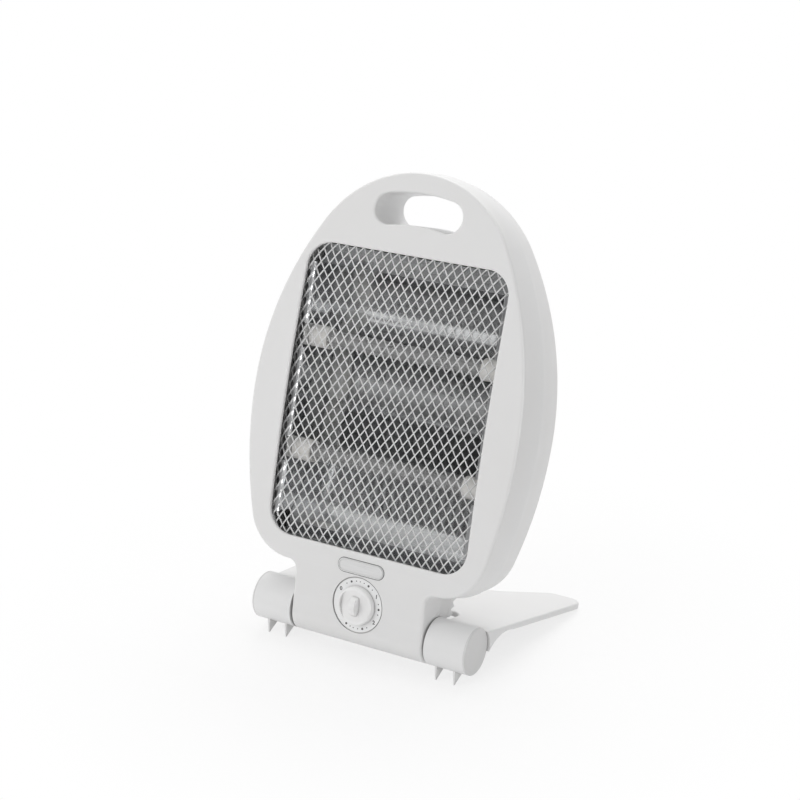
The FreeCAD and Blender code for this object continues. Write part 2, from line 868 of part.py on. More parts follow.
def tab_screws():
    """Four screws that hold the end plates to the rear posts."""
    screws = []
    for across, up in tab_posts:
        seat = tab_back - size.end_plate
        head = rod(Vector(across, seat, up), Y_AXIS * -1, size.screw_head_radius,
                   size.screw_head_height)
        reach = size.end_plate + size.tab_screw_bite - size.seat_gap
        shank = rod(Vector(across, seat, up), Y_AXIS, size.screw_radius - size.running_gap, reach)
        screws.append(head.fuse(shank))
    return Part.makeCompound(screws)


cap_start = size.tube_length / 2 - size.cap_socket
cap_end = cap_start + size.cap_length


def tube_set(level, up):
    """Quartz tube, heating coil and the two ceramic caps of one bar."""
    start = Vector(-size.tube_length / 2, -size.tube_depth, up)
    wall = bound_cylinder(f"{level}_tube_wall", "Sizes.tube_radius", "Sizes.tube_length", start, X_AXIS)
    bore = bound_cylinder(f"{level}_tube_bore", "Sizes.tube_bore", "Sizes.tube_length", start, X_AXIS)
    finish(f"quartz_tube_{level}", cut(f"{level}_tube", wall, bore), case_pieces)
    coil = bound_cylinder(f"{level}_coil", "Sizes.coil_radius", "Sizes.tube_length", start, X_AXIS)
    finish(f"heating_coil_{level}", coil, case_pieces)
    for name, side in (("left", -1), ("right", 1)):
        way = X_AXIS * side
        inner = Vector(side * cap_start, -size.tube_depth, up)
        tag = f"{level}_{name}"
        body_length = size.reflector_half_width - size.press_gap - cap_start
        body = rod(inner, way, size.cap_radius, body_length)
        collar = rod(inner, way, size.cap_collar_radius, size.cap_length)
        socket = rod(inner, way, size.tube_radius + size.running_gap, size.cap_socket + size.seat_gap)
        feature(f"ceramic_cap_{tag}", body.fuse(collar).cut(socket), case_pieces)
        pin = bound_cylinder(f"{tag}_pin", "Sizes.pin_radius", "Sizes.pin_length",
                             Vector(side * cap_end, -size.tube_depth, up), way)
        finish(f"element_pin_{tag}", pin, case_pieces)


def hinge_set(name, side):
    """Sleeve, washer and screw that join one end of the neck to its knuckle."""
    way = X_AXIS * side
    bearing_end = knuckle_start + size.knuckle_bearing
    sleeve_length = bearing_end + size.seat_gap - neck_bay
    start = Vector(side * neck_bay, 0, 0)
    sleeve = rod(start, way, size.pivot_radius, sleeve_length)
    bore = rod(start, way, size.pivot_bore, sleeve_length)
    feature(f"pivot_sleeve_{name}", sleeve.cut(bore), case_pieces)
    seat = Vector(side * (bearing_end + size.seat_gap), 0, 0)
    washer = bound_cylinder(f"{name}_washer_disc", "Sizes.pivot_washer_radius",
                            "Sizes.pivot_washer", seat, way)
    hole = bound_cylinder(f"{name}_washer_hole", "Sizes.pivot_bore", "Sizes.pivot_washer", seat, way)
    finish(f"pivot_washer_{name}", cut(f"{name}_washer", washer, hole), case_pieces)
    head_seat = Vector(seat.x + side * size.pivot_washer, 0, 0)
    head = bound_cylinder(f"{name}_pivot_head", "Sizes.pivot_head_radius", "Sizes.pivot_head",
                          head_seat, way)
    shank = bound_cylinder(f"{name}_pivot_shank", "Sizes.pivot_bore - Sizes.running_gap",
                           "Sizes.pivot_screw_length", head_seat, way * -1)
    finish(f"pivot_screw_{name}", fused(f"{name}_pivot_bolt", head, shank), case_pieces)


knuckle_start = size.neck_half_width + size.knuckle_gap
cap_face = size.knuckle_end - size.knuckle_cap


def deck_plan():
    """The stand seen from above, as a prism: a fork in front and two legs behind."""
    low = -size.barrel_radius
    inner = knuckle_start
    slope_run = size.arch_radius * math.sqrt(0.5)
    flare = size.deck_end_half_width
    corner = size.deck_corner
    arch_low = size.arch_depth
    shoulder = arch_low + size.arch_radius - slope_run
    leg_inner = slope_run + (size.deck_reach - shoulder)
    corners = [
        (size.knuckle_end, 0, 0),
        (flare, size.deck_reach, corner),
        (leg_inner, size.deck_reach, corner),
        (0, arch_low - (slope_run - (shoulder - arch_low)), size.arch_radius),
        (-leg_inner, size.deck_reach, corner),
        (-flare, size.deck_reach, corner),
        (-size.knuckle_end, 0, 0),
        (-inner, 0, 0),
        (-inner, size.deck_front, size.arch_inner_corner),
        (inner, size.deck_front, size.arch_inner_corner),
        (inner, 0, 0),
    ]
    wire = loop(corners, lambda across, back: Vector(across, back, low))
    return prism(wire, Z_AXIS * (size.deck_top - low))


def deck_side():
    """The stand seen from the side: a thin deck with a gusset behind the knuckles."""
    half = size.deck_end_half_width + size.overrun
    place = on_side(-half)
    under = size.deck_top - size.deck_thick
    root = math.sqrt(size.barrel_radius ** 2 - size.gusset_low ** 2)
    hollow_up = under - GUSSET_HOLLOW_SHARE * size.deck_thick
    back = size.deck_reach + size.overrun
    wire = Part.Wire([
        line(place(0, size.deck_top), place(back, size.deck_top)),
        line(place(back, size.deck_top), place(back, under)),
        line(place(back, under), place(size.gusset_end, under)),
        Part.Arc(place(size.gusset_end, under), place(size.gusset_hollow, hollow_up),
                 place(root, -size.gusset_low)).toShape(),
        line(place(root, -size.gusset_low), place(0, -size.gusset_low)),
        line(place(0, -size.gusset_low), place(0, size.deck_top)),
    ])
    return prism(wire, X_AXIS * (2 * half))


def make_stand():
    """Deck, two knuckles and four pointed fins, moulded in one piece."""
    deck = deck_plan().common(deck_side())
    deck_edges = nearest(deck, lambda edge: edge_middle(edge).z > size.deck_top - size.running_gap
                         and edge_middle(edge).y > size.barrel_radius)
    deck = deck.makeFillet(size.deck_round, deck_edges)
    knuckle = rod(Vector(knuckle_start, 0, 0), X_AXIS, size.barrel_radius, cap_face - knuckle_start)
    hollow_start = knuckle_start + size.knuckle_bearing
    hollow = rod(Vector(hollow_start, 0, 0), X_AXIS, size.knuckle_hollow, cap_face - hollow_start)
    bore = rod(Vector(knuckle_start, 0, 0), X_AXIS, size.pivot_radius + size.running_gap,
               size.knuckle_end)
    end_room = rod(Vector(cap_face, 0, 0), X_AXIS, size.barrel_radius + size.press_gap,
                   size.knuckle_cap + size.overrun)
    pry = block(Vector(cap_face - size.pry_slot, -size.pry_width, -size.barrel_radius),
                Vector(cap_face, 0, size.pry_slot - size.barrel_radius))
    fins = [fin_at(size.knuckle_end - size.fin_outer - step * size.fin_pitch) for step in (0, 1)]
    right_adds = [knuckle] + fins
    right_cuts = [hollow, bore, end_room, pry]
    body = deck.multiFuse(right_adds + [mirrored(shape) for shape in right_adds])
    for tool in right_cuts:
        body = body.cut(tool)
        body = body.cut(mirrored(tool))
    return body.removeSplitter()


under_deck = size.deck_top - size.deck_thick
deck_hypotenuse = math.hypot(size.deck_reach, under_deck)
deck_slope = math.asin(size.fin_drop / deck_hypotenuse) + math.atan(under_deck / size.deck_reach)


def fin_at(across):
    """Pointed fin under a knuckle, drawn in the floor's frame, then turned to the deck's."""
    place = on_side(across - size.fin_thick / 2)
    front_up = -math.sqrt(size.barrel_radius ** 2 - size.fin_front ** 2)
    back_up = -math.sqrt(size.barrel_radius ** 2 - size.fin_back ** 2)
    points = [
        place(-size.fin_front, front_up + size.fin_flat),
        place(-size.fin_front, -size.fin_drop),
        place(size.fin_flat - size.fin_front, -size.fin_drop),
        place(size.fin_back, back_up),
        place(0, -size.knuckle_hollow - size.fin_flat),
    ]
    fin = prism(Part.makePolygon(points + points[:1]), X_AXIS * size.fin_thick)
    wedge = [Vector(across + side * wide / 2, -size.barrel_radius, up)
             for side, wide, up in ((-1, size.fin_thick, -size.fin_back), (1, size.fin_thick, -size.fin_back),
                                    (1, size.fin_tip, -size.fin_drop), (-1, size.fin_tip, -size.fin_drop))]
    fin = fin.common(prism(Part.makePolygon(wedge + wedge[:1]), Y_AXIS * (2 * size.barrel_radius)))
    fin.rotate(Vector(0, 0, 0), X_AXIS, math.degrees(deck_slope))
    return fin


def make_knuckle_cap(side):
    """Flat end cap of a knuckle, with a hollow spigot."""
    way = X_AXIS * side
    start = Vector(side * cap_face, 0, 0)
    disc = rod(start, way, size.barrel_radius, size.knuckle_cap)
    outer_rim = nearest(disc, lambda edge: abs(edge.CenterOfMass.x) > cap_face + size.running_gap
                        and edge.Length > size.barrel_radius * math.pi)
    disc = disc.makeFillet(size.cap_round, outer_rim)
    spigot_radius = size.knuckle_hollow - size.running_gap
    spigot = rod(start, way * -1, spigot_radius, size.cap_spigot)
    room = rod(start, way * -1, spigot_radius - size.spigot_wall, size.cap_spigot)
    return disc.fuse(spigot.cut(room))


def circle_sketch(body, name, formula):
    """Sketch of one circle on a body's base plane, its radius bound to the sheet."""
    sketch = base_sketch(body, name)
    sketch.addGeometry(Part.Circle(Vector(0, 0, 0), Z_AXIS, size.shaft_radius))
    sketch.addConstraint(Sketcher.Constraint("Coincident", 0, 3, -1, 1))
    rim = sketch.addConstraint(Sketcher.Constraint("Radius", 0, size.shaft_radius))
    sketch.setExpression(f"Constraints[{rim}]", formula)
    return sketch


def base_sketch(body, name, role="XY_Plane"):
    sketch = body.newObject("Sketcher::SketchObject", name)
    plane = [item for item in body.Origin.OriginFeatures if item.Role == role][0]
    sketch.AttachmentSupport = [(plane, "")]
    sketch.MapMode = "FlatFace"
    return sketch


def arch_sketch(body):
    """Half disc that stands in the knob's dish, across the way that the grip runs."""
    sketch = base_sketch(body, "KnobGripArch", "YZ_Plane")
    foot = Vector(0, size.knob_height - size.dish_depth, 0)
    reach = Vector(size.grip_radius, 0, 0)
    rim = Part.Circle(foot, Z_AXIS, size.grip_radius)
    sketch.addGeometry(Part.ArcOfCircle(rim, 0, math.pi))
    sketch.addGeometry(Part.LineSegment(foot - reach, foot + reach))
    sketch.addConstraint(Sketcher.Constraint("Coincident", 0, 2, 1, 1))
    sketch.addConstraint(Sketcher.Constraint("Coincident", 0, 1, 1, 2))
    sketch.addConstraint(Sketcher.Constraint("Horizontal", 1))
    sketch.addConstraint(Sketcher.Constraint("PointOnObject", 0, 3, 1))
    sketch.addConstraint(Sketcher.Constraint("PointOnObject", 0, 3, -2))
    radius = sketch.addConstraint(Sketcher.Constraint("Radius", 0, size.grip_radius))
    sketch.setExpression(f"Constraints[{radius}]", "Sizes.grip_radius")
    height = sketch.addConstraint(Sketcher.Constraint("DistanceY", -1, 1, 0, 3, foot.y))
    sketch.setExpression(f"Constraints[{height}]", "Sizes.knob_height - Sizes.dish_depth")
    return sketch


def pad(body, name, sketch, formula):
    item = body.newObject("PartDesign::Pad", name)
    item.Profile = sketch
    item.setExpression("Length", formula)
    return item


def pocket(body, name, sketch, formula, upwards=True):
    """Pocket that cuts up or down from its sketch."""
    item = body.newObject("PartDesign::Pocket", name)
    item.Profile = sketch
    item.Reversed = upwards
    item.setExpression("Length", formula)
    return item


def make_knob():
    """Turning knob: a dished disc with an arched grip in the dish and a cavity over the nut."""
    body = doc.addObject("PartDesign::Body", "KnobBody")
    pad(body, "KnobDisc", circle_sketch(body, "KnobRim", "Sizes.knob_radius"), "Sizes.knob_height")
    doc.recompute()
    rim = body.newObject("PartDesign::Fillet", "KnobRound")
    edges = [f"Edge{index}" for index, edge in enumerate(body.Shape.Edges, start=1)
             if edge.CenterOfMass.z > size.knob_height / 2 and len(edge.Vertexes) == 1]
    rim.Base = (doc.getObject("KnobDisc"), edges)
    rim.setExpression("Radius", "Sizes.knob_round")
    doc.recompute()
    dish = circle_sketch(body, "KnobDishRim", "Sizes.dish_radius")
    dish.setExpression("AttachmentOffset.Base.z", "Sizes.knob_height")
    pocket(body, "KnobDish", dish, "Sizes.dish_depth", upwards=False)
    grip = pad(body, "KnobGrip", arch_sketch(body), "Sizes.grip_width")
    grip.Midplane = True
    doc.recompute()
    crest = body.newObject("PartDesign::Fillet", "KnobGripRound")
    edges = [f"Edge{index}" for index, edge in enumerate(body.Shape.Edges, start=1)
             if edge.Curve.TypeId == "Part::GeomCircle" and abs(edge.Curve.Axis.x) == 1]
    crest.Base = (grip, edges)
    crest.setExpression("Radius", "Sizes.grip_round")
    doc.recompute()
    cavity = circle_sketch(body, "KnobCavityRim", "Sizes.knob_cavity_radius")
    pocket(body, "KnobCavity", cavity, "Sizes.knob_cavity_depth")
    bore = circle_sketch(body, "KnobBoreRim", "Sizes.shaft_radius + Sizes.press_gap")
    pocket(body, "KnobBore", bore, "Sizes.knob_bore_depth")
    doc.recompute()
    body.Placement = dial_frame.multiply(Placement(Vector(0, 0, knob_base), Rotation()))
    return body


def make_switch():
    """Rotary switch behind the dial: a block with a bush through the panel."""
    half = size.switch_side / 2
    case = block(Vector(-half, -half, switch_face - size.switch_depth), Vector(half, half, switch_face))
    bush = rod(Vector(0, 0, switch_face), Z_AXIS, size.bush_radius, size.bush_length)
    bore_foot = shaft_top - size.shaft_length - size.seat_gap
    bore = rod(Vector(0, 0, bore_foot), Z_AXIS, size.shaft_radius + size.running_gap, size.shaft_length)
    return placed(case.fuse(bush).cut(bore), dial_frame)


def make_nut():
    """Hexagon nut on the switch bush, under the knob."""
    flat = size.nut_across / 2
    corner = flat / math.cos(math.pi / NUT_SIDES)
    turns = [2 * math.pi * step / NUT_SIDES for step in range(NUT_SIDES)]
    points = [Vector(corner * math.cos(turn), corner * math.sin(turn), disc_face) for turn in turns]
    nut = prism(Part.makePolygon(points + points[:1]), Z_AXIS * size.nut_height)
    hole = rod(Vector(0, 0, disc_face), Z_AXIS, size.bush_radius + size.press_gap, size.nut_height)
    return placed(nut.cut(hole), dial_frame)


def make_dial_disc():
    """Flat scale disc in the panel's recess."""
    seat = Vector(0, 0, -size.dial_recess)
    disc = rod(seat, Z_AXIS, size.dial_radius - size.dial_groove, size.dial_disc)
    hole = rod(seat, Z_AXIS, size.bush_radius + size.running_gap, size.dial_disc)
    return placed(disc.cut(hole), dial_frame)


def make_gland():
    """Flanged cord inlet in the back of the neck."""
    flange = rod(Vector(0, 0, 0), Z_AXIS, size.gland_flange_radius, size.gland_flange)
    outer_rim = nearest(flange, lambda edge: edge.CenterOfMass.z > size.gland_flange / 2
                        and len(edge.Vertexes) == 1)
    flange = flange.makeFillet(size.gland_flange / 2, outer_rim)
    barrel = rod(Vector(0, 0, 0), Z_AXIS * -1, size.gland_radius, size.wall + size.gland_flange)
    bore = rod(Vector(0, 0, -size.wall - size.gland_flange), Z_AXIS, size.gland_bore,
               size.wall + 2 * size.gland_flange)
    return placed(flange.fuse(barrel).cut(bore), gland_frame)


def make_terminal_block():
    """Terminal block on its post, with a clamp hole through each of its ends."""
    across, back, up = module_seats[0]
    low = Vector(across - size.block_length / 2, back - size.block_depth, up - size.block_height / 2)
    case = bound_box("BlockCase", "Sizes.block_length", "Sizes.block_depth", "Sizes.block_height", low)
    tools = []
    for side in (-1, 1):
        start = Vector(across + side * size.block_length * BLOCK_HOLE_SHARE, back - size.block_depth, up)
        tools.append(bound_cylinder(f"BlockHole{side + 1}", "Sizes.block_screw_radius",
                                    "Sizes.block_depth / 2", start, Y_AXIS))
    return cut("BlockBody", case, fused("BlockHoles", *tools))


def make_tilt_switch():
    """Sealed tip-over switch on its post."""
    across, back, up = module_seats[1]
    low = Vector(across - size.tilt_length / 2, back - size.tilt_depth, up - size.block_height / 2)
    return bound_box("TiltCase", "Sizes.tilt_length", "Sizes.tilt_depth", "Sizes.block_height", low)


def make_cutout():
    """Thermal cut-out on the outer face of the left end plate."""
    face = -(size.reflector_half_width + size.seat_gap + size.end_plate)
    up = (size.upper_tube_height + size.lower_tube_height) / 2
    low = Vector(face - size.cutout_flange, -size.cutout_flange_width / 2, up - size.cutout_flange_length / 2)
    flange = bound_box("CutoutFlange", "Sizes.cutout_flange", "Sizes.cutout_flange_width",
                       "Sizes.cutout_flange_length", low)
    start = Vector(face - size.cutout_flange, 0, up)
    can = bound_cylinder("CutoutCan", "Sizes.cutout_radius", "Sizes.cutout_depth", start, X_AXIS * -1)
    return fused("CutoutBody", flange, can)


for level, up in tube_heights.items():
    tube_set(level, up)
for name, side in (("left", -1), ("right", 1)):
    hinge_set(name, side)
    feature(f"knuckle_cap_{name}", make_knuckle_cap(side), stand_pieces)
feature("stand_base", make_stand(), stand_pieces)
feature("front_panel", make_front_panel(), case_pieces)
feature("rear_shell", make_rear_shell(), case_pieces)
feature("grille", make_grille(), case_pieces)
feature("reflector", make_reflector(), case_pieces)
right_plate = make_end_plate()
feature("end_plate_right", right_plate, case_pieces)
feature("end_plate_left", mirrored(right_plate), case_pieces)
feature("badge_plate", make_badge(), case_pieces)
feature("ratchet_strip", make_ratchet(), case_pieces)
feature("case_screws", case_screws(), case_pieces)
feature("reflector_screws", tab_screws(), case_pieces)
feature("lead_wires", make_leads(), case_pieces)
finish("knob", make_knob(), case_pieces)
feature("switch_shaft", placed(rod(Vector(0, 0, shaft_top), Z_AXIS * -1, size.shaft_radius,
                                   size.shaft_length), dial_frame), case_pieces)
feature("rotary_switch", make_switch(), case_pieces)
feature("switch_nut", make_nut(), case_pieces)
feature("dial_disc", make_dial_disc(), case_pieces)
feature("cord_gland", make_gland(), case_pieces)
finish("terminal_block", make_terminal_block(), case_pieces)
finish("tip_over_switch", make_tilt_switch(), case_pieces)
finish("thermal_cutout", make_cutout(), case_pieces)

# Lean the case back, slope the deck so that its legs and fins share the floor, then centre the whole
case_seat = Placement(Vector(0, 0, size.fin_drop), Rotation(X_AXIS, -size.lean_angle))
stand_seat = Placement(Vector(0, 0, size.fin_drop), Rotation(X_AXIS, -math.degrees(deck_slope)))
for seat, group in ((case_seat, case_pieces), (stand_seat, stand_pieces)):
    for item in group:
        item.Placement = seat.multiply(item.Placement)
doc.recompute()
pieces = case_pieces + stand_pieces
boxes = [item.Shape.optimalBoundingBox(False, False) for item in pieces]
middle = (min(box.YMin for box in boxes) + max(box.YMax for box in boxes)) / 2
for item in pieces:
    item.Placement = Placement(Vector(0, -middle, 0), Rotation()).multiply(item.Placement)
doc.recompute()

for item in doc.Objects:
    if "Invalid" in item.State or "Error" in item.State:
        raise RuntimeError(f"{item.Label} failed to recompute: {item.State}")
for item in pieces:
    if item.Shape.isNull() or not item.Shape.isValid() or not item.Shape.Solids:
        raise RuntimeError(f"{item.Label} has no valid solid")
os.makedirs("parts", exist_ok=True)
for item in pieces:
    item.Shape.exportStep(f"parts/{item.Label}.step")
    print(item.Label, len(item.Shape.Solids), round(item.Shape.Volume, 1))
axis = Vector(0, -middle, size.fin_drop)
knob_axis = dial_frame.Rotation.multVec(Z_AXIS)
knob_place = case_seat.multVec(dial_frame.Base) + Vector(0, -middle, 0)
print("hinge axis at", axis)
print("knob axis at", knob_place, "along", case_seat.Rotation.multVec(knob_axis))
print("deck slope", math.degrees(deck_slope))
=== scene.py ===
import json
import math

import bmesh
import bpy
from mathutils import Matrix, Vector


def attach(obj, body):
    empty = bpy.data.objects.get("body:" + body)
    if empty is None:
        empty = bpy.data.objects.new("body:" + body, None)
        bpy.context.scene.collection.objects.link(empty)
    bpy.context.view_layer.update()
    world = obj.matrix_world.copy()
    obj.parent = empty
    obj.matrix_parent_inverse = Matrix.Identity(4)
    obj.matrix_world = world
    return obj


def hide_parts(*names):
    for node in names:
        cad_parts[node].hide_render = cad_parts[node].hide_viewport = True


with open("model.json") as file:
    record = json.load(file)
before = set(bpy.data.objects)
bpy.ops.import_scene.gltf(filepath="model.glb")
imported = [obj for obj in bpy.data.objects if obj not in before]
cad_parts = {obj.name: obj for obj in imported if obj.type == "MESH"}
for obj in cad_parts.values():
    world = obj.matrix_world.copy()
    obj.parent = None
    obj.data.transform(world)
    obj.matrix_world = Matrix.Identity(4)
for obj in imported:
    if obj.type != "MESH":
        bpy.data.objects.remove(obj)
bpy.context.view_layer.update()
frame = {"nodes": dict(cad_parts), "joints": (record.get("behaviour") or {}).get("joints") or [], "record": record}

nodes = frame["nodes"]
joints = {joint["name"]: joint for joint in frame["joints"]}

# Sizes of pieces are in millimetres and in the CAD's own frames. The case frame has its origin on the
# hinge axis, X to the right, Y to the back and Z up the panel. The dial frame and the badge frame have
# Z out of the panel and Y up it. The camera, the lights and the floor are in metres.
LEAN = 17.6
FRONT_BOW_RADIUS = 1300.0
FRONT_BOW_CENTRE = (1272.35, 161.0)
WINDOW_HALF_WIDTH = 82.5
WINDOW_LOW = 53.0
WINDOW_HIGH = 269.0
WINDOW_CORNER = 19.0

# Wire guard
GUARD_COLUMNS = 23
GUARD_ROWS = 21
GUARD_TUCK = 7.0
GUARD_FRONT = -22.2
GUARD_BAND = 20.0
GUARD_DROP = 12.0
GUARD_WIRE = 0.55
GUARD_RIM = 0.9
GUARD_SIDES = 6
GUARD_STEPS = 2
END_SEARCHES = 8

# Heating tubes
TUBE_HEIGHTS = {"upper": 199.0, "lower": 114.5}
TUBE_DEPTH = -4.0
COIL_LENGTH = 134.0
COIL_RADIUS = 3.4
COIL_PITCH = 2.4
COIL_WIRE = 0.4
COIL_STEPS = 12
COIL_SIDES = 5

# Rolled front edges of the reflector's end plates
ROLL_RADIUS = 2.3
ROLL_SIDES = 16
ROLL_GAP = 9.2

# Knob and dial
KNOB_FOOT = -0.2
KNOB_RADIUS = 14.3
KNOB_HEIGHT = 4.9
KNOB_ROUND = 1.4
KNOB_CAVITY_RADIUS = 8.0
KNOB_CAVITY_DEPTH = 1.2
DISH_RADIUS = 12.5
DISH_DEPTH = 2.6
DISH_SPAN = 10.0
DISH_RING_SHARES = (1.0, 0.96, 0.9, 0.75, 0.6, 0.45, 0.3, 0.15)
GRIP_RADIUS = 7.2
GRIP_HALF_WIDTH = 2.6
GRIP_ROUND = 0.6
GRIP_SINK = 0.3
KNOB_SEGMENTS = 72
GRIP_ARC_STEPS = 36
ROUND_STEPS = 5
DIAL_FACE = -0.6
DIAL_MARK_RADIUS = 17.6
INK_RAISE = 0.05
BIG_DOT = 0.85
SMALL_DOT = 0.42
DOT_SIDES = 20
BIG_DOT_ANGLES = (-23, 25, 88, 161, 207)
SMALL_DOT_ANGLES = (-37, -9, 1, 12, 38, 75, 101, 148, 174, 186, 195)
NUMERAL_SIZE = 4.0
NUMERAL_WEIGHT = 0.12
NUMERAL_ANGLES = {"0": -59, "1": 57, "2": 124}

# Bare badge
BADGE_HEIGHT = 42.0
BADGE_HALF_RUN = 14.0
BADGE_HALF_WIDTH = 5.0
BADGE_LINE = 0.28
BADGE_LINE_SIDES = 6
BADGE_END_STEPS = 14
BADGE_BEAD = 0.3
BADGE_BEAD_INSET = 0.75
BADGE_TOP = 0.8

# Screws in the back
SCREW_PLACES = [(95.0, 130.0), (60.0, 282.0), (40.0, 31.0)]
SCREW_REACH = 4.0
SCREW_SHANK = 1.6
SCREW_LENGTH = 14.0
SCREW_HEAD = 3.2
SCREW_HEAD_HEIGHT = 2.2
SCREW_CROWN = 0.6
SCREW_SEGMENTS = 32
CROSS_ARM = 1.9
CROSS_HALF_WIDTH = 0.42
CROSS_DEPTH = 1.3

# Finishes: the span that a noise mostly keeps to, painted shade in crevices with its reach in metres, and worn
# edges
NOISE_LOW = 0.3
NOISE_HIGH = 0.7
CREASE_REACH = 0.0025
CREASE_SHUT = 0.25
CREASE_OPEN = 0.8
CREASE_SHADE_STRENGTH = 0.6
CREASE_TONE_SHARE = 0.35
EDGE_START = 0.52
EDGE_FULL = 0.62
SHARP_ANGLE = 40

# Camera, from the hinge axis, and light
CAMERA_PLACE = Vector((0.69099, -1.12102, 0.68752))
CAMERA_TARGET = Vector((0.01049, 0.02882, 0.16640))
CAMERA_LENS = 90.95
SENSOR = 36.0
FLOOR_HALF = 5.0
FLOOR_DROP = 0.0004
FLOOR_NEAR = -0.60
FLOOR_FAR = 0.32
WHITE = (1.0, 1.0, 1.0, 1.0)
AMBIENT = 0.52
LIGHT_TARGET = (0.0, 0.0, 0.18)
BACK_SOFTBOX = {"place": (-0.2, 0.8, 1.6), "width": 1.6, "height": 1.6, "power": 17.5}
FRONT_SOFTBOX = {"place": (-0.9, -1.7, 1.0), "width": 1.4, "height": 1.4, "power": 13.5}
EDGE_STRIP = {"place": (1.3, -0.9, 0.5), "width": 0.25, "height": 1.4, "power": 25.0}

# Dark cards, from one corner to the opposite one
FLAG_LEVEL = 0.12
FLAGS = {
    "front_flag": ((-2.2, -1.35, 0.1), (2.2, -1.35, 3.6)),
    "floor_flag": ((-1.2, -0.62, 0.002), (1.2, -0.14, 0.002)),
    "side_flag": ((-2.2, -1.35, 0.002), (-0.63, -0.62, 0.002)),
}

MM = Matrix.Scale(0.001, 4)
X_WAY = Vector((1, 0, 0))
hinge = Vector(joints["body_tilt"]["pos_m"])
case_frame = Matrix.Translation(hinge) @ Matrix.Rotation(-math.radians(LEAN), 4, "X") @ MM


def frame_along(origin, out):
    """Frame in millimetres with Z along out and X to the right."""
    turn = Matrix((X_WAY, out.cross(X_WAY), out)).transposed().to_4x4()
    return Matrix.Translation(origin) @ turn @ MM


def bow_frame(height):
    """Frame on the front bow of the case at one height."""
    back, up = FRONT_BOW_CENTRE
    rise = height - up
    run = math.sqrt(FRONT_BOW_RADIUS ** 2 - rise ** 2)
    origin = case_frame @ Vector((0, back - run, height))
    out = case_frame.to_3x3() @ Vector((0, -run, rise))
    return frame_along(origin, out.normalized())


knob_joint = joints["knob_turn"]
dial_frame = frame_along(Vector(knob_joint["pos_m"]), Vector(knob_joint["axis"]).normalized())
badge_frame = bow_frame(BADGE_HEIGHT)


class Graph:
    """Node graph of one new material, with short calls for the nodes that are used here."""

    def __init__(self, name, **sockets):
        self.material = bpy.data.materials.new(name)
        self.material.use_nodes = True
        self.tree = self.material.node_tree
        self.shader = self.tree.nodes["Principled BSDF"]
        self.place = self.tree.nodes.new("ShaderNodeTexCoord").outputs["Object"]
        for socket, value in sockets.items():
            self.shader.inputs[socket.replace("_", " ")].default_value = value

    def node(self, kind, **inputs):
        item = self.tree.nodes.new(kind)
        for socket, value in inputs.items():
            self.feed(item.inputs[socket.replace("_", " ")], value)
        return item

    def feed(self, socket, value):
        if isinstance(value, bpy.types.NodeSocket):
            self.tree.links.new(value, socket)
        else:
            socket.default_value = value

    def stretched(self, across, along, up):
        return self.node("ShaderNodeMapping", Vector=self.place, Scale=(across, along, up)).outputs["Vector"]

    def noise(self, scale, detail=3.0, place=None):
        item = self.node("ShaderNodeTexNoise", Vector=place or self.place, Scale=scale, Detail=detail)
        return item.outputs["Fac"]

    def worn_edges(self):
        """0 on flats and hollows, 1 on sharp outer edges."""
        raw = self.tree.nodes.new("ShaderNodeNewGeometry").outputs["Pointiness"]
        return self.spread(raw, EDGE_START, EDGE_FULL, 0.0, 1.0)

    def painted_crease_shade(self):
        """0 in the open, more in narrow gaps and inner corners: painted shade where ambient occlusion finds them
        shut in.
        """
        open_share = self.node("ShaderNodeAmbientOcclusion", Distance=CREASE_REACH).outputs["AO"]
        return self.spread(open_share, CREASE_SHUT, CREASE_OPEN, CREASE_SHADE_STRENGTH, 0.0)

    def spread(self, value, low, high, start, end):
        item = self.tree.nodes.new("ShaderNodeMapRange")
        for socket, number in zip(("Value", "From Min", "From Max", "To Min", "To Max"),
                                  (value, low, high, start, end)):
            self.feed(item.inputs[socket], number)
        return item.outputs["Result"]

    def ramp(self, value, *stops):
        item = self.node("ShaderNodeValToRGB", Fac=value)
        marks = item.color_ramp.elements
        while len(marks) < len(stops):
            marks.new(0.5)
        for mark, (position, colour) in zip(marks, stops):
            mark.position = position
            mark.color = (*colour, 1.0)
        return item.outputs["Color"]

    def tones(self, noise, first, second):
        """Colour that goes from first to second over the usual span of a noise."""
        return self.ramp(noise, (NOISE_LOW, first), (NOISE_HIGH, second))

    def mixed(self, share, first, second):
        item = self.tree.nodes.new("ShaderNodeMix")
        item.data_type = "RGBA"
        self.feed(item.inputs["Factor"], share)
        self.feed(item.inputs[6], first)
        self.feed(item.inputs[7], second)
        return item.outputs[2]

    def colour(self, value):
        self.feed(self.shader.inputs["Base Color"], value)

    def rough(self, noise, start, end, high=NOISE_HIGH):
        """Roughness that goes from start to end with a noise."""
        self.feed(self.shader.inputs["Roughness"], self.spread(noise, NOISE_LOW, high, start, end))

    def bump(self, *layers):
        """Stack bumps, each a height, a strength and a depth in metres."""
        normal = None
        for height, strength, depth in layers:
            item = self.node("ShaderNodeBump", Height=height, Strength=strength, Distance=depth)
            if normal:
                self.feed(item.inputs["Normal"], normal)
            normal = item.outputs["Normal"]
        self.feed(self.shader.inputs["Normal"], normal)


def grey(level, warm=0.0):
    """Colour a little off neutral grey."""
    return (level * (1 + warm), level, level * (1 - warm))


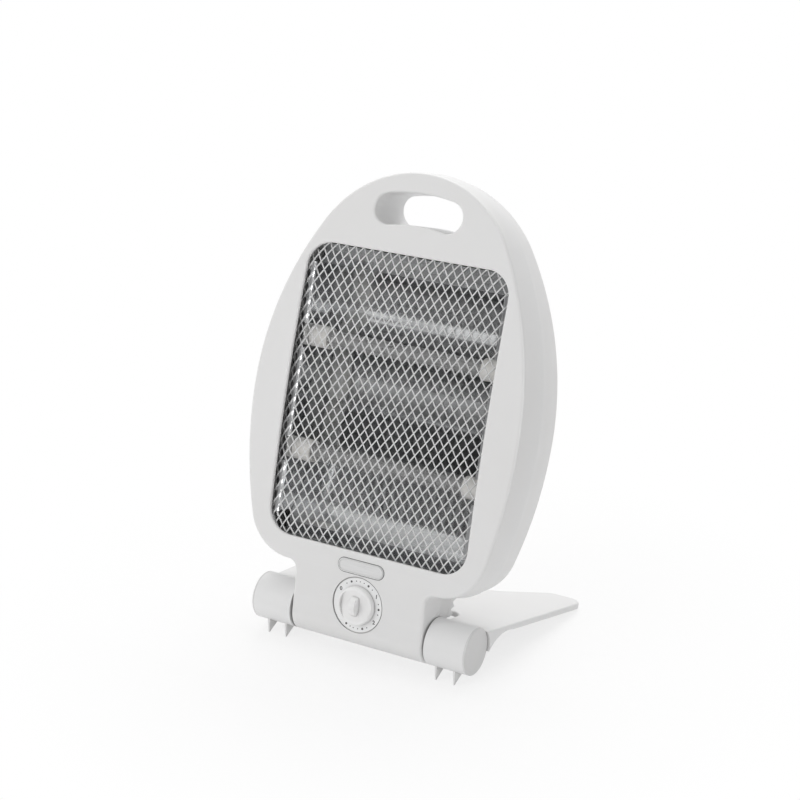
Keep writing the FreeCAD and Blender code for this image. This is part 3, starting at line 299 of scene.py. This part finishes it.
def moulded_plastic(name, level, sheen_level):
    """Satin moulded plastic: fine spark texture, slow ripples, faint yellowing, rubbed edges and painted shade in
    narrow gaps and inner corners.
    """
    graph = Graph(name, Specular_IOR_Level=0.5, IOR=1.49)
    age = graph.noise(9.0, 4.0)
    tone = graph.tones(age, grey(level - 0.012, 0.006), grey(level + 0.008, 0.002))
    edge = graph.worn_edges()
    rubbed = graph.mixed(edge, tone, (*grey(level + 0.03), 1.0))
    # Narrow gaps and inner corners are darkened towards a grey by ambient occlusion: painted shade.
    graph.colour(graph.mixed(graph.painted_crease_shade(), rubbed, (*grey(level * CREASE_TONE_SHARE, 0.02), 1.0)))
    graph.rough(graph.noise(55.0, 5.0), sheen_level - 0.05, sheen_level + 0.06)
    graph.bump((graph.noise(3200.0, 2.0), 0.12, 0.00006), (graph.noise(38.0), 0.05, 0.0006))
    return graph.material


def badge_finish():
    """Bare raised plate, a little glossier than the case, with fine brushing along it."""
    graph = Graph("badge_finish", Specular_IOR_Level=0.5)
    brush = graph.noise(1.0, 3.0, graph.stretched(60.0, 2600.0, 2600.0))
    graph.colour(graph.tones(brush, grey(0.74), grey(0.79)))
    graph.rough(brush, 0.26, 0.36)
    graph.bump((brush, 0.08, 0.00005))
    return graph.material


def printed_ink(name, level):
    """Dark print with an uneven, slightly thin edge."""
    graph = Graph(name, Specular_IOR_Level=0.4)
    cover = graph.noise(900.0, 4.0)
    graph.colour(graph.ramp(cover, (0.25, grey(level + 0.05)), (0.6, grey(level))))
    graph.rough(cover, 0.45, 0.6)
    graph.bump((cover, 0.1, 0.00003))
    return graph.material


def guard_metal():
    """Bright plated wire: satin metal with drawn streaks and faint heat tint."""
    graph = Graph("guard_metal", Metallic=0.4, Specular_IOR_Level=0.6)
    drawn = graph.noise(420.0, 4.0)
    tint = graph.noise(14.0)
    base = graph.tones(drawn, grey(0.88), grey(0.96))
    graph.colour(graph.mixed(graph.spread(tint, 0.62, 0.8, 0.0, 0.35), base, (0.80, 0.77, 0.72, 1.0)))
    graph.rough(drawn, 0.26, 0.42)
    graph.bump((graph.noise(1800.0), 0.15, 0.00005))
    return graph.material


def polished_sheet():
    """Bright rolled aluminium: long rolling lines, a soft ripple and a slight haze."""
    graph = Graph("polished_sheet", Metallic=1.0)
    lines = graph.noise(1.0, 4.0, graph.stretched(8.0, 1400.0, 1400.0))
    haze = graph.noise(26.0, 4.0)
    graph.colour(graph.tones(lines, grey(0.56, -0.01), grey(0.66, -0.01)))
    graph.rough(haze, 0.08, 0.15, high=0.75)
    graph.bump((graph.noise(16.0), 0.06, 0.0007))
    return graph.material


def satin_sheet():
    """Rolled edge of sheet: bright satin metal with fine lines along it."""
    graph = Graph("satin_sheet", Metallic=1.0)
    lines = graph.noise(1.0, 4.0, graph.stretched(1400.0, 1400.0, 8.0))
    graph.colour(graph.tones(lines, grey(0.86, -0.01), grey(0.94, -0.01)))
    graph.rough(lines, 0.34, 0.42)
    graph.bump((graph.noise(30.0), 0.08, 0.0006))
    return graph.material


def quartz():
    """Milky quartz: translucent, slightly frosted, with draw lines along the tube."""
    graph = Graph("quartz", Transmission_Weight=0.55, IOR=1.46, Specular_IOR_Level=0.5)
    drawn = graph.noise(1.0, 3.0, graph.stretched(14.0, 900.0, 900.0))
    graph.colour(graph.tones(drawn, grey(0.50), grey(0.60)))
    graph.rough(graph.noise(140.0), 0.22, 0.34)
    graph.bump((drawn, 0.08, 0.00006))
    return graph.material


def resistance_wire():
    """Oxidised resistance wire, dark with brown patches."""
    graph = Graph("resistance_wire", Metallic=0.9)
    scale = graph.noise(260.0, 5.0)
    graph.colour(graph.ramp(scale, (0.3, (0.16, 0.14, 0.13)), (0.75, (0.36, 0.31, 0.27))))
    graph.rough(scale, 0.4, 0.65)
    graph.bump((scale, 0.2, 0.00008))
    return graph.material


def ceramic():
    """White steatite with pin holes and faint staining near the heat."""
    graph = Graph("ceramic", Specular_IOR_Level=0.45)
    stain = graph.noise(120.0, 5.0)
    graph.colour(graph.ramp(stain, (0.35, (0.80, 0.785, 0.75)), (0.6, (0.88, 0.87, 0.85))))
    graph.rough(stain, 0.55, 0.4)
    pores = graph.node("ShaderNodeTexVoronoi", Vector=graph.place, Scale=1500.0).outputs["Distance"]
    graph.bump((pores, 0.15, 0.00008))
    return graph.material


def plated_steel(name, level, warm=0.0):
    """Zinc plate: fine scratches and cloudy patches."""
    graph = Graph(name, Metallic=1.0)
    cloud = graph.noise(160.0, 5.0)
    scratch = graph.noise(1.0, 2.0, graph.stretched(2400.0, 260.0, 2400.0))
    graph.colour(graph.tones(cloud, grey(level - 0.06, warm), grey(level + 0.05, warm)))
    graph.rough(cloud, 0.28, 0.44)
    graph.bump((scratch, 0.12, 0.00005))
    return graph.material


def dark_moulding(name, level, roughness):
    """Black plastic or rubber with a grainy mould texture and dusty edges."""
    graph = Graph(name, Specular_IOR_Level=0.4)
    dust = graph.noise(70.0, 5.0)
    graph.colour(graph.ramp(dust, (0.35, grey(level)), (0.8, grey(level + 0.05))))
    graph.rough(dust, roughness - 0.08, roughness + 0.08)
    graph.bump((graph.noise(1500.0), 0.25, 0.0001))
    return graph.material


CASE = moulded_plastic("case_plastic", 0.80, 0.40)
STAND = moulded_plastic("stand_plastic", 0.80, 0.42)
# The knob and dial are a little whiter than the case, and are lifted further as painted light that brightens their
# shaded faces.
LIFTED_KNOB = moulded_plastic("knob_plastic", 0.88, 0.36)
# The knuckle caps are a darker copy of the case plastic: painted shade on their end faces.
SHADED_KNUCKLE_CAP = moulded_plastic("knuckle_cap_shaded_plastic", 0.70, 0.44)
LIFTED_DIAL = moulded_plastic("dial_plastic", 0.86, 0.44)
BLOCK = moulded_plastic("block_plastic", 0.70, 0.5)
BADGE = badge_finish()
INK = printed_ink("dial_ink", 0.10)
BADGE_INK = printed_ink("badge_ink", 0.16)
GUARD = guard_metal()
SHEET = polished_sheet()
EDGE_SHEET = satin_sheet()
QUARTZ = quartz()
COIL = resistance_wire()
CERAMIC = ceramic()
STEEL = plated_steel("plated_steel", 0.58)
BRASS = plated_steel("plated_brass", 0.60, 0.12)
CAN = plated_steel("pressed_can", 0.66)
SWITCH = dark_moulding("switch_plastic", 0.03, 0.45)
RUBBER = dark_moulding("gland_rubber", 0.05, 0.7)
SLOT_FINISHES = {
    "case_plastic": CASE,
    "stand_plastic": STAND,
    "knob_plastic": LIFTED_KNOB,
    "dial_plastic": LIFTED_DIAL,
    "badge_plastic": BADGE,
    "grille_wire": GUARD,
    "reflector_sheet": SHEET,
    "quartz_glass": QUARTZ,
    "coil_wire": COIL,
    "ceramic": CERAMIC,
    "steel": STEEL,
    "switch_plastic": SWITCH,
    "nut_brass": BRASS,
    "gland_rubber": RUBBER,
    "block_plastic": BLOCK,
    "cutout_can": CAN,
}
NODE_FINISHES = {
    "knuckle_cap_left": SHADED_KNUCKLE_CAP,
    "knuckle_cap_right": SHADED_KNUCKLE_CAP,
}


def dress_frame():
    """Give each CAD node its own finish, or that of its slot in the record."""
    for row in frame["record"]["subparts"]:
        slots = nodes[row["node"]].data.materials
        slots.clear()
        slots.append(NODE_FINISHES.get(row["node"], SLOT_FINISHES[row["material_slot"]]))


def piece(name, form, place, body, finish, slot, *replaced):
    """Put a finished form into the scene as a piece that rides on a body."""
    form.transform(place)
    bmesh.ops.recalc_face_normals(form, faces=form.faces)
    mesh = bpy.data.meshes.new(name)
    form.to_mesh(mesh)
    form.free()
    mesh.materials.append(finish)
    mesh.shade_smooth()
    mesh.set_sharp_from_angle(angle=math.radians(SHARP_ANGLE))
    item = bpy.data.objects.new(name, mesh)
    bpy.context.scene.collection.objects.link(item)
    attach(item, body)
    if replaced:
        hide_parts(*replaced)


def ring_points(radius, count, height=0.0):
    turns = [2 * math.pi * step / count for step in range(count)]
    return [Vector((radius * math.cos(turn), radius * math.sin(turn), height)) for turn in turns]


def bridge(form, rings, closed=False):
    """Join rings of the same count with quads, and return the rings' vertices."""
    loops = [[form.verts.new(point) for point in ring] for ring in rings]
    pairs = list(zip(loops, loops[1:]))
    if closed:
        pairs.append((loops[-1], loops[0]))
    for first, second in pairs:
        for index, corner in enumerate(first):
            after = (index + 1) % len(first)
            form.faces.new((corner, first[after], second[after], second[index]))
    return loops


def sweep(form, points, radius, sides, closed=False, side_way=Vector((0, 1, 0))):
    """Add a round tube along points."""
    count = len(points)
    rings = []
    for index, point in enumerate(points):
        before = points[index - 1] if closed or index else point
        after = points[(index + 1) % count] if closed or index < count - 1 else point
        along = (after - before).normalized()
        out = along.cross(side_way).normalized()
        rise = out.cross(along)
        turns = [2 * math.pi * step / sides for step in range(sides)]
        rings.append([point + radius * (math.cos(turn) * out + math.sin(turn) * rise) for turn in turns])
    loops = bridge(form, rings, closed)
    if not closed:
        form.faces.new(loops[0])
        form.faces.new(loops[-1])


def rim_distance(across, up):
    """How far a place on the guard is inside its rounded rim."""
    middle = (WINDOW_LOW + WINDOW_HIGH) / 2
    corner = WINDOW_CORNER + GUARD_TUCK
    over_side = abs(across) - (WINDOW_HALF_WIDTH + GUARD_TUCK) + corner
    over_top = abs(up - middle) - ((WINDOW_HIGH - WINDOW_LOW) / 2 + GUARD_TUCK) + corner
    outside = math.hypot(max(over_side, 0), max(over_top, 0))
    return corner - outside - min(max(over_side, over_top), 0)


def guard_point(across, up, lift):
    """A place on the pillow-shaped guard: flat in the middle, curving back to its rim."""
    share = 1 - min(max(rim_distance(across, up) / GUARD_BAND, 0), 1)
    return Vector((across, GUARD_FRONT + GUARD_DROP * (1 - math.sqrt(1 - share ** 2)) + lift, up))


def guard_wire(start, step, lift):
    """Points of one straight wire, from rim to rim, or none where it misses the guard."""
    def at(count):
        return start[0] + step[0] * count, start[1] + step[1] * count

    def to_rim(inner, outer):
        for _ in range(END_SEARCHES):
            middle = (inner + outer) / 2
            if rim_distance(*at(middle)) > 0:
                inner = middle
            else:
                outer = middle
        return inner

    reach = GUARD_STEPS * (GUARD_ROWS + GUARD_COLUMNS)
    counts = [index for index in range(-reach, reach) if rim_distance(*at(index)) > 0]
    if len(counts) < 2:
        return []
    spots = [to_rim(counts[0], counts[0] - 1)] + counts + [to_rim(counts[-1], counts[-1] + 1)]
    return [guard_point(*at(count), lift) for count in spots]


def rim_outline(half, low, high, corner, depth):
    """Rounded rectangle in the case frame."""
    points = []
    for side, level, start in ((1, high, 0), (-1, high, 1), (-1, low, 2), (1, low, 3)):
        inner = Vector((side * (half - corner), depth, level + (corner if level == low else -corner)))
        for step in range(ROUND_STEPS + 1):
            turn = (start + step / ROUND_STEPS) * math.pi / 2
            points.append(inner + corner * Vector((math.cos(turn), 0, math.sin(turn))))
    return points


def make_guard():
    """Diamond wire guard: two crossed layers of wire in a rim behind the window's edge."""
    form = bmesh.new()
    cell_width = 2 * WINDOW_HALF_WIDTH / GUARD_COLUMNS
    cell_height = (WINDOW_HIGH - WINDOW_LOW) / GUARD_ROWS
    step = (cell_width / 2 / GUARD_STEPS, cell_height / 2 / GUARD_STEPS)
    middle = (WINDOW_LOW + WINDOW_HIGH) / 2
    for lean, lift in ((1, -GUARD_WIRE), (-1, GUARD_WIRE)):
        for index in range(-GUARD_COLUMNS - GUARD_ROWS, GUARD_COLUMNS + GUARD_ROWS + 1):
            points = guard_wire((index * cell_width, middle), (lean * step[0], step[1]), lift)
            if points:
                sweep(form, points, GUARD_WIRE, GUARD_SIDES)
    rim = rim_outline(WINDOW_HALF_WIDTH + GUARD_TUCK, WINDOW_LOW - GUARD_TUCK, WINDOW_HIGH + GUARD_TUCK,
                      WINDOW_CORNER + GUARD_TUCK, GUARD_FRONT + GUARD_DROP)
    sweep(form, rim, GUARD_RIM, GUARD_SIDES, closed=True)
    piece("wire_guard", form, case_frame, "heater", GUARD, "grille_wire", "grille")


def make_coil(level, up):
    """Close-wound heating coil inside a quartz tube."""
    form = bmesh.new()
    count = int(COIL_LENGTH / COIL_PITCH) * COIL_STEPS
    points = []
    for index in range(count + 1):
        turn = 2 * math.pi * index / COIL_STEPS
        along = COIL_LENGTH * (index / count - 1 / 2)
        points.append(Vector((along, TUBE_DEPTH + COIL_RADIUS * math.cos(turn),
                              up + COIL_RADIUS * math.sin(turn))))
    sweep(form, points, COIL_WIRE, COIL_SIDES, side_way=X_WAY)
    node = f"heating_coil_{level}"
    piece(f"coil_winding_{level}", form, case_frame, "heater", COIL, "coil_wire", node)


def make_edge_rolls():
    """Bright rolled front edges of the reflector's end plates, left out beside the tube ends."""
    to_case = case_frame.inverted()
    stops = [up + way * ROLL_GAP for up in sorted(TUBE_HEIGHTS.values()) for way in (-1, 1)]
    for side, inner in (("left", max), ("right", min)):
        spots = [to_case @ vertex.co for vertex in nodes[f"end_plate_{side}"].data.vertices]
        across = inner(spot.x for spot in spots)
        depth = min(spot.y for spot in spots)
        levels = [min(spot.z for spot in spots), *stops, max(spot.z for spot in spots)]
        form = bmesh.new()
        for low, high in zip(levels[::2], levels[1::2]):
            ends = [Vector((across, depth, low)), Vector((across, depth, high))]
            sweep(form, ends, ROLL_RADIUS, ROLL_SIDES)
        piece(f"edge_roll_{side}", form, case_frame, "heater", EDGE_SHEET, "reflector_sheet")


def quarter_round():
    """Pairs of run and fall along a quarter circle of radius 1, from its top."""
    turns = [math.pi / 2 * step / ROUND_STEPS for step in range(ROUND_STEPS + 1)]
    return [(math.sin(turn), 1 - math.cos(turn)) for turn in turns]


def arch_outline(across, radius):
    """Half disc that stands in the knob's dish, with its foot sunk in."""
    floor = KNOB_HEIGHT - DISH_DEPTH
    turns = [math.pi * step / GRIP_ARC_STEPS for step in range(GRIP_ARC_STEPS + 1)]
    arc = [Vector((across, radius * math.cos(turn), floor + radius * math.sin(turn))) for turn in turns]
    return arc + [Vector((across, -radius, floor - GRIP_SINK)), Vector((across, radius, floor - GRIP_SINK))]


def dish_floor(up):
    """Height of the dish's floor: deepest across the middle, none at the top and the bottom."""
    return KNOB_HEIGHT - DISH_DEPTH * max(1 - (up / DISH_SPAN) ** 2, 0)


def make_knob():
    """Knob with a rounded rim, a hollow underside and an arched grip in its dish."""
    form = bmesh.new()
    profile = [(KNOB_CAVITY_RADIUS, KNOB_CAVITY_DEPTH), (KNOB_CAVITY_RADIUS, 0), (KNOB_RADIUS, 0)]
    shoulder = [(KNOB_RADIUS - KNOB_ROUND * (1 - run), KNOB_HEIGHT - KNOB_ROUND * fall)
                for run, fall in quarter_round()]
    profile += reversed(shoulder)
    rings = [ring_points(radius, KNOB_SEGMENTS, height) for radius, height in profile]
    rings.append(ring_points(DISH_RADIUS, KNOB_SEGMENTS, KNOB_HEIGHT))
    for share in DISH_RING_SHARES:
        ring = ring_points(share * DISH_RADIUS, KNOB_SEGMENTS)
        rings.append([Vector((point.x, point.y, dish_floor(point.y))) for point in ring])
    loops = bridge(form, rings)
    form.faces.new(loops[0])
    form.faces.new(loops[-1])
    ends = [(GRIP_HALF_WIDTH - GRIP_ROUND * fall, GRIP_RADIUS - GRIP_ROUND * (1 - run))
            for run, fall in quarter_round()]
    rings = [arch_outline(across, radius) for across, radius in ends]
    rings += [arch_outline(-across, radius) for across, radius in reversed(ends)]
    grip = bridge(form, rings)
    form.faces.new(grip[0])
    form.faces.new(grip[-1])
    place = dial_frame @ Matrix.Translation((0, 0, KNOB_FOOT))
    piece("turning_knob", form, place, "knob", LIFTED_KNOB, "knob_plastic", "knob")


def at_dial(angle):
    """A place on the ring of marks, in degrees clockwise from its top."""
    turn = math.radians(90 - angle)
    return Vector((DIAL_MARK_RADIUS * math.cos(turn), DIAL_MARK_RADIUS * math.sin(turn), DIAL_FACE))


def add_numeral(form, text, place):
    """Add a flat numeral, centred on a place."""
    curve = bpy.data.curves.new("numeral", "FONT")
    curve.body = text
    curve.size = NUMERAL_SIZE
    curve.extrude = INK_RAISE
    curve.offset = NUMERAL_WEIGHT
    curve.align_x = "CENTER"
    curve.align_y = "CENTER"
    writer = bpy.data.objects.new("numeral", curve)
    mesh = bpy.data.meshes.new_from_object(writer)
    mesh.transform(Matrix.Translation(place))
    form.from_mesh(mesh)
    bpy.data.objects.remove(writer)
    bpy.data.meshes.remove(mesh)


def make_dial_print():
    """Printed dots and numerals round the knob."""
    form = bmesh.new()
    for text, angle in NUMERAL_ANGLES.items():
        add_numeral(form, text, at_dial(angle))
    for radius, angles in ((BIG_DOT, BIG_DOT_ANGLES), (SMALL_DOT, SMALL_DOT_ANGLES)):
        for angle in angles:
            rings = [[at_dial(angle) + point for point in ring_points(radius, DOT_SIDES, height)]
                     for height in (0, INK_RAISE)]
            loops = bridge(form, rings)
            form.faces.new(loops[-1])
    piece("dial_print", form, dial_frame, "heater", INK, "dial_plastic")


def badge_outline(grow, height):
    """Long round outline of the badge, drawn wider by grow."""
    points = []
    for side in (1, -1):
        for step in range(BADGE_END_STEPS + 1):
            turn = math.pi * (step / BADGE_END_STEPS - 1 / 2)
            radius = BADGE_HALF_WIDTH + grow
            points.append(Vector((side * (BADGE_HALF_RUN + radius * math.cos(turn)),
                                  side * radius * math.sin(turn), height)))
    return points


def make_badge_trim():
    """A dark line round the bare badge, and a raised bead inside its edge."""
    out = Vector((0, 0, 1))
    line = bmesh.new()
    sweep(line, badge_outline(BADGE_LINE, 0), BADGE_LINE, BADGE_LINE_SIDES, closed=True, side_way=out)
    piece("badge_line", line, badge_frame, "heater", BADGE_INK, "badge_plastic")
    bead = bmesh.new()
    sweep(bead, badge_outline(-BADGE_BEAD_INSET, BADGE_TOP), BADGE_BEAD, BADGE_LINE_SIDES, closed=True,
          side_way=out)
    piece("badge_bead", bead, badge_frame, "heater", BADGE, "badge_plastic")


def cross_outline(height):
    arm, half = CROSS_ARM, CROSS_HALF_WIDTH
    quarter = [(arm, -half), (arm, half), (half, half)]
    points = []
    for turn in range(4):
        for across, up in quarter:
            for _ in range(turn):
                across, up = -up, across
            points.append(Vector((across, up, height)))
    return points


def add_screw(form, place):
    """Pan-head screw with a cross recess, its head's top at the origin of place."""
    part = bmesh.new()
    crown = [(SCREW_HEAD - SCREW_CROWN * (1 - run), -SCREW_CROWN * fall) for run, fall in quarter_round()]
    profile = crown + [(SCREW_HEAD, -SCREW_HEAD_HEIGHT), (SCREW_SHANK, -SCREW_HEAD_HEIGHT),
                       (SCREW_SHANK, -SCREW_LENGTH)]
    loops = bridge(part, [ring_points(radius, SCREW_SEGMENTS, height) for radius, height in profile])
    part.faces.new(loops[-1])
    recess = bridge(part, [cross_outline(height) for height in (0, -CROSS_DEPTH)])
    part.faces.new(recess[-1])
    edges = [part.edges.get((corner, ring[index - 1])) for ring in (loops[0], recess[0])
             for index, corner in enumerate(ring)]
    bmesh.ops.triangle_fill(part, edges=edges, use_beauty=True, normal=(0, 0, 1))
    part.transform(place)
    mesh = bpy.data.meshes.new("screw")
    part.to_mesh(mesh)
    part.free()
    form.from_mesh(mesh)
    bpy.data.meshes.remove(mesh)


def make_case_screws():
    """Six screws sunk in the back, each at the depth of its CAD solid."""
    form = bmesh.new()
    to_case = case_frame.inverted()
    spots = [to_case @ vertex.co for vertex in nodes["case_screws"].data.vertices]
    for across, up in [(side * x, z) for x, z in SCREW_PLACES for side in (-1, 1)]:
        depths = [spot.y for spot in spots if math.hypot(spot.x - across, spot.z - up) < SCREW_REACH]
        turn = Matrix.Rotation(-math.pi / 2, 4, "X")
        add_screw(form, Matrix.Translation((across, max(depths), up)) @ turn)
    piece("back_screws", form, case_frame, "heater", STEEL, "steel", "case_screws")


def seen_share(tree):
    """1 for what is seen, mirrored or looked at through glass, and 0 for light that falls on things."""
    rays = tree.nodes.new("ShaderNodeLightPath")
    total = rays.outputs["Is Camera Ray"]
    for kind in ("Is Glossy Ray", "Is Transmission Ray"):
        item = tree.nodes.new("ShaderNodeMath")
        item.operation = "ADD"
        item.use_clamp = True
        tree.links.new(total, item.inputs[0])
        tree.links.new(rays.outputs[kind], item.inputs[1])
        total = item.outputs[0]
    return total


def stage_sheet(name, corners, finish):
    """Flat sheet that belongs to the studio."""
    form = bmesh.new()
    form.faces.new([form.verts.new(corner) for corner in corners])
    mesh = bpy.data.meshes.new(name)
    form.to_mesh(mesh)
    form.free()
    mesh.materials.append(finish)
    sheet = bpy.data.objects.new(name, mesh)
    bpy.context.scene.collection.objects.link(sheet)
    return sheet


def make_floor():
    """Pale floor: it keeps the shadow near the object and turns white further out."""
    graph = Graph("floor_finish", Roughness=0.6, Specular_IOR_Level=0.2)
    graph.colour(graph.tones(graph.noise(240.0, 4.0), grey(0.90), grey(0.92)))
    reach = graph.node("ShaderNodeVectorMath")
    reach.operation = "LENGTH"
    graph.feed(reach.inputs[0], graph.place)
    share = graph.node("ShaderNodeMath")
    share.operation = "MULTIPLY"
    graph.feed(share.inputs[0], graph.spread(reach.outputs["Value"], FLOOR_NEAR, FLOOR_FAR, 0.0, 1.0))
    graph.feed(share.inputs[1], seen_share(graph.tree))
    glow = graph.node("ShaderNodeEmission", Color=WHITE, Strength=1.0)
    blend = graph.node("ShaderNodeMixShader", Fac=share.outputs[0])
    graph.feed(blend.inputs[1], graph.shader.outputs[0])
    graph.feed(blend.inputs[2], glow.outputs[0])
    graph.feed(graph.tree.nodes["Material Output"].inputs["Surface"], blend.outputs[0])
    corners = [(across * FLOOR_HALF, along * FLOOR_HALF, -FLOOR_DROP)
               for across, along in ((-1, -1), (1, -1), (1, 1), (-1, 1))]
    stage_sheet("floor", corners, graph.material)


def make_flag(name, low, high):
    """Dark studio card that only shows in reflections."""
    graph = Graph(name + "_finish", Roughness=0.9, Specular_IOR_Level=0.1)
    graph.colour(graph.tones(graph.noise(12.0), grey(FLAG_LEVEL), grey(FLAG_LEVEL * 1.2)))
    corners = (low, (high[0], low[1], low[2]), high, (low[0], high[1], high[2]))
    flag = stage_sheet(name, corners, graph.material)
    flag.visible_camera = False
    flag.visible_diffuse = False
    flag.visible_shadow = False
    flag.visible_transmission = False


def make_world():
    """White where it is seen or mirrored, a plain ambient level elsewhere."""
    world = bpy.data.worlds.new("studio")
    bpy.context.scene.world = world
    world.use_nodes = True
    tree = world.node_tree
    tree.nodes.clear()
    blend = tree.nodes.new("ShaderNodeMixShader")
    tree.links.new(seen_share(tree), blend.inputs[0])
    for index, strength in ((1, AMBIENT), (2, 1.0)):
        glow = tree.nodes.new("ShaderNodeBackground")
        glow.inputs["Color"].default_value = WHITE
        glow.inputs["Strength"].default_value = strength
        tree.links.new(glow.outputs[0], blend.inputs[index])
    output = tree.nodes.new("ShaderNodeOutputWorld")
    tree.links.new(blend.outputs[0], output.inputs["Surface"])


def add_light(name, place, width, height, power):
    """Soft rectangular lamp that faces the heater."""
    data = bpy.data.lights.new(name, "AREA")
    data.shape = "RECTANGLE"
    data.size = width
    data.size_y = height
    data.energy = power
    lamp = bpy.data.objects.new(name, data)
    bpy.context.scene.collection.objects.link(lamp)
    lamp.location = place
    lamp.rotation_euler = (Vector(LIGHT_TARGET) - Vector(place)).to_track_quat("-Z", "Y").to_euler()
    return lamp


def add_camera():
    data = bpy.data.cameras.new("camera")
    data.lens = CAMERA_LENS
    data.sensor_width = SENSOR
    camera = bpy.data.objects.new("camera", data)
    bpy.context.scene.collection.objects.link(camera)
    camera.location = hinge + CAMERA_PLACE
    camera.rotation_euler = (CAMERA_TARGET - CAMERA_PLACE).to_track_quat("-Z", "Y").to_euler()
    bpy.context.scene.camera = camera


dress_frame()
make_guard()
for level, up in TUBE_HEIGHTS.items():
    make_coil(level, up)
make_edge_rolls()
make_knob()
make_dial_print()
make_badge_trim()
make_case_screws()

make_floor()
for name, (low, high) in FLAGS.items():
    make_flag(name, low, high)
make_world()
add_light("back_softbox", **BACK_SOFTBOX)
front_softbox = add_light("front_softbox", **FRONT_SOFTBOX)
front_softbox.visible_glossy = False
edge_strip = add_light("edge_strip", **EDGE_STRIP)
edge_strip.visible_diffuse = False
add_camera()
bpy.context.scene.view_settings.view_transform = "Standard"
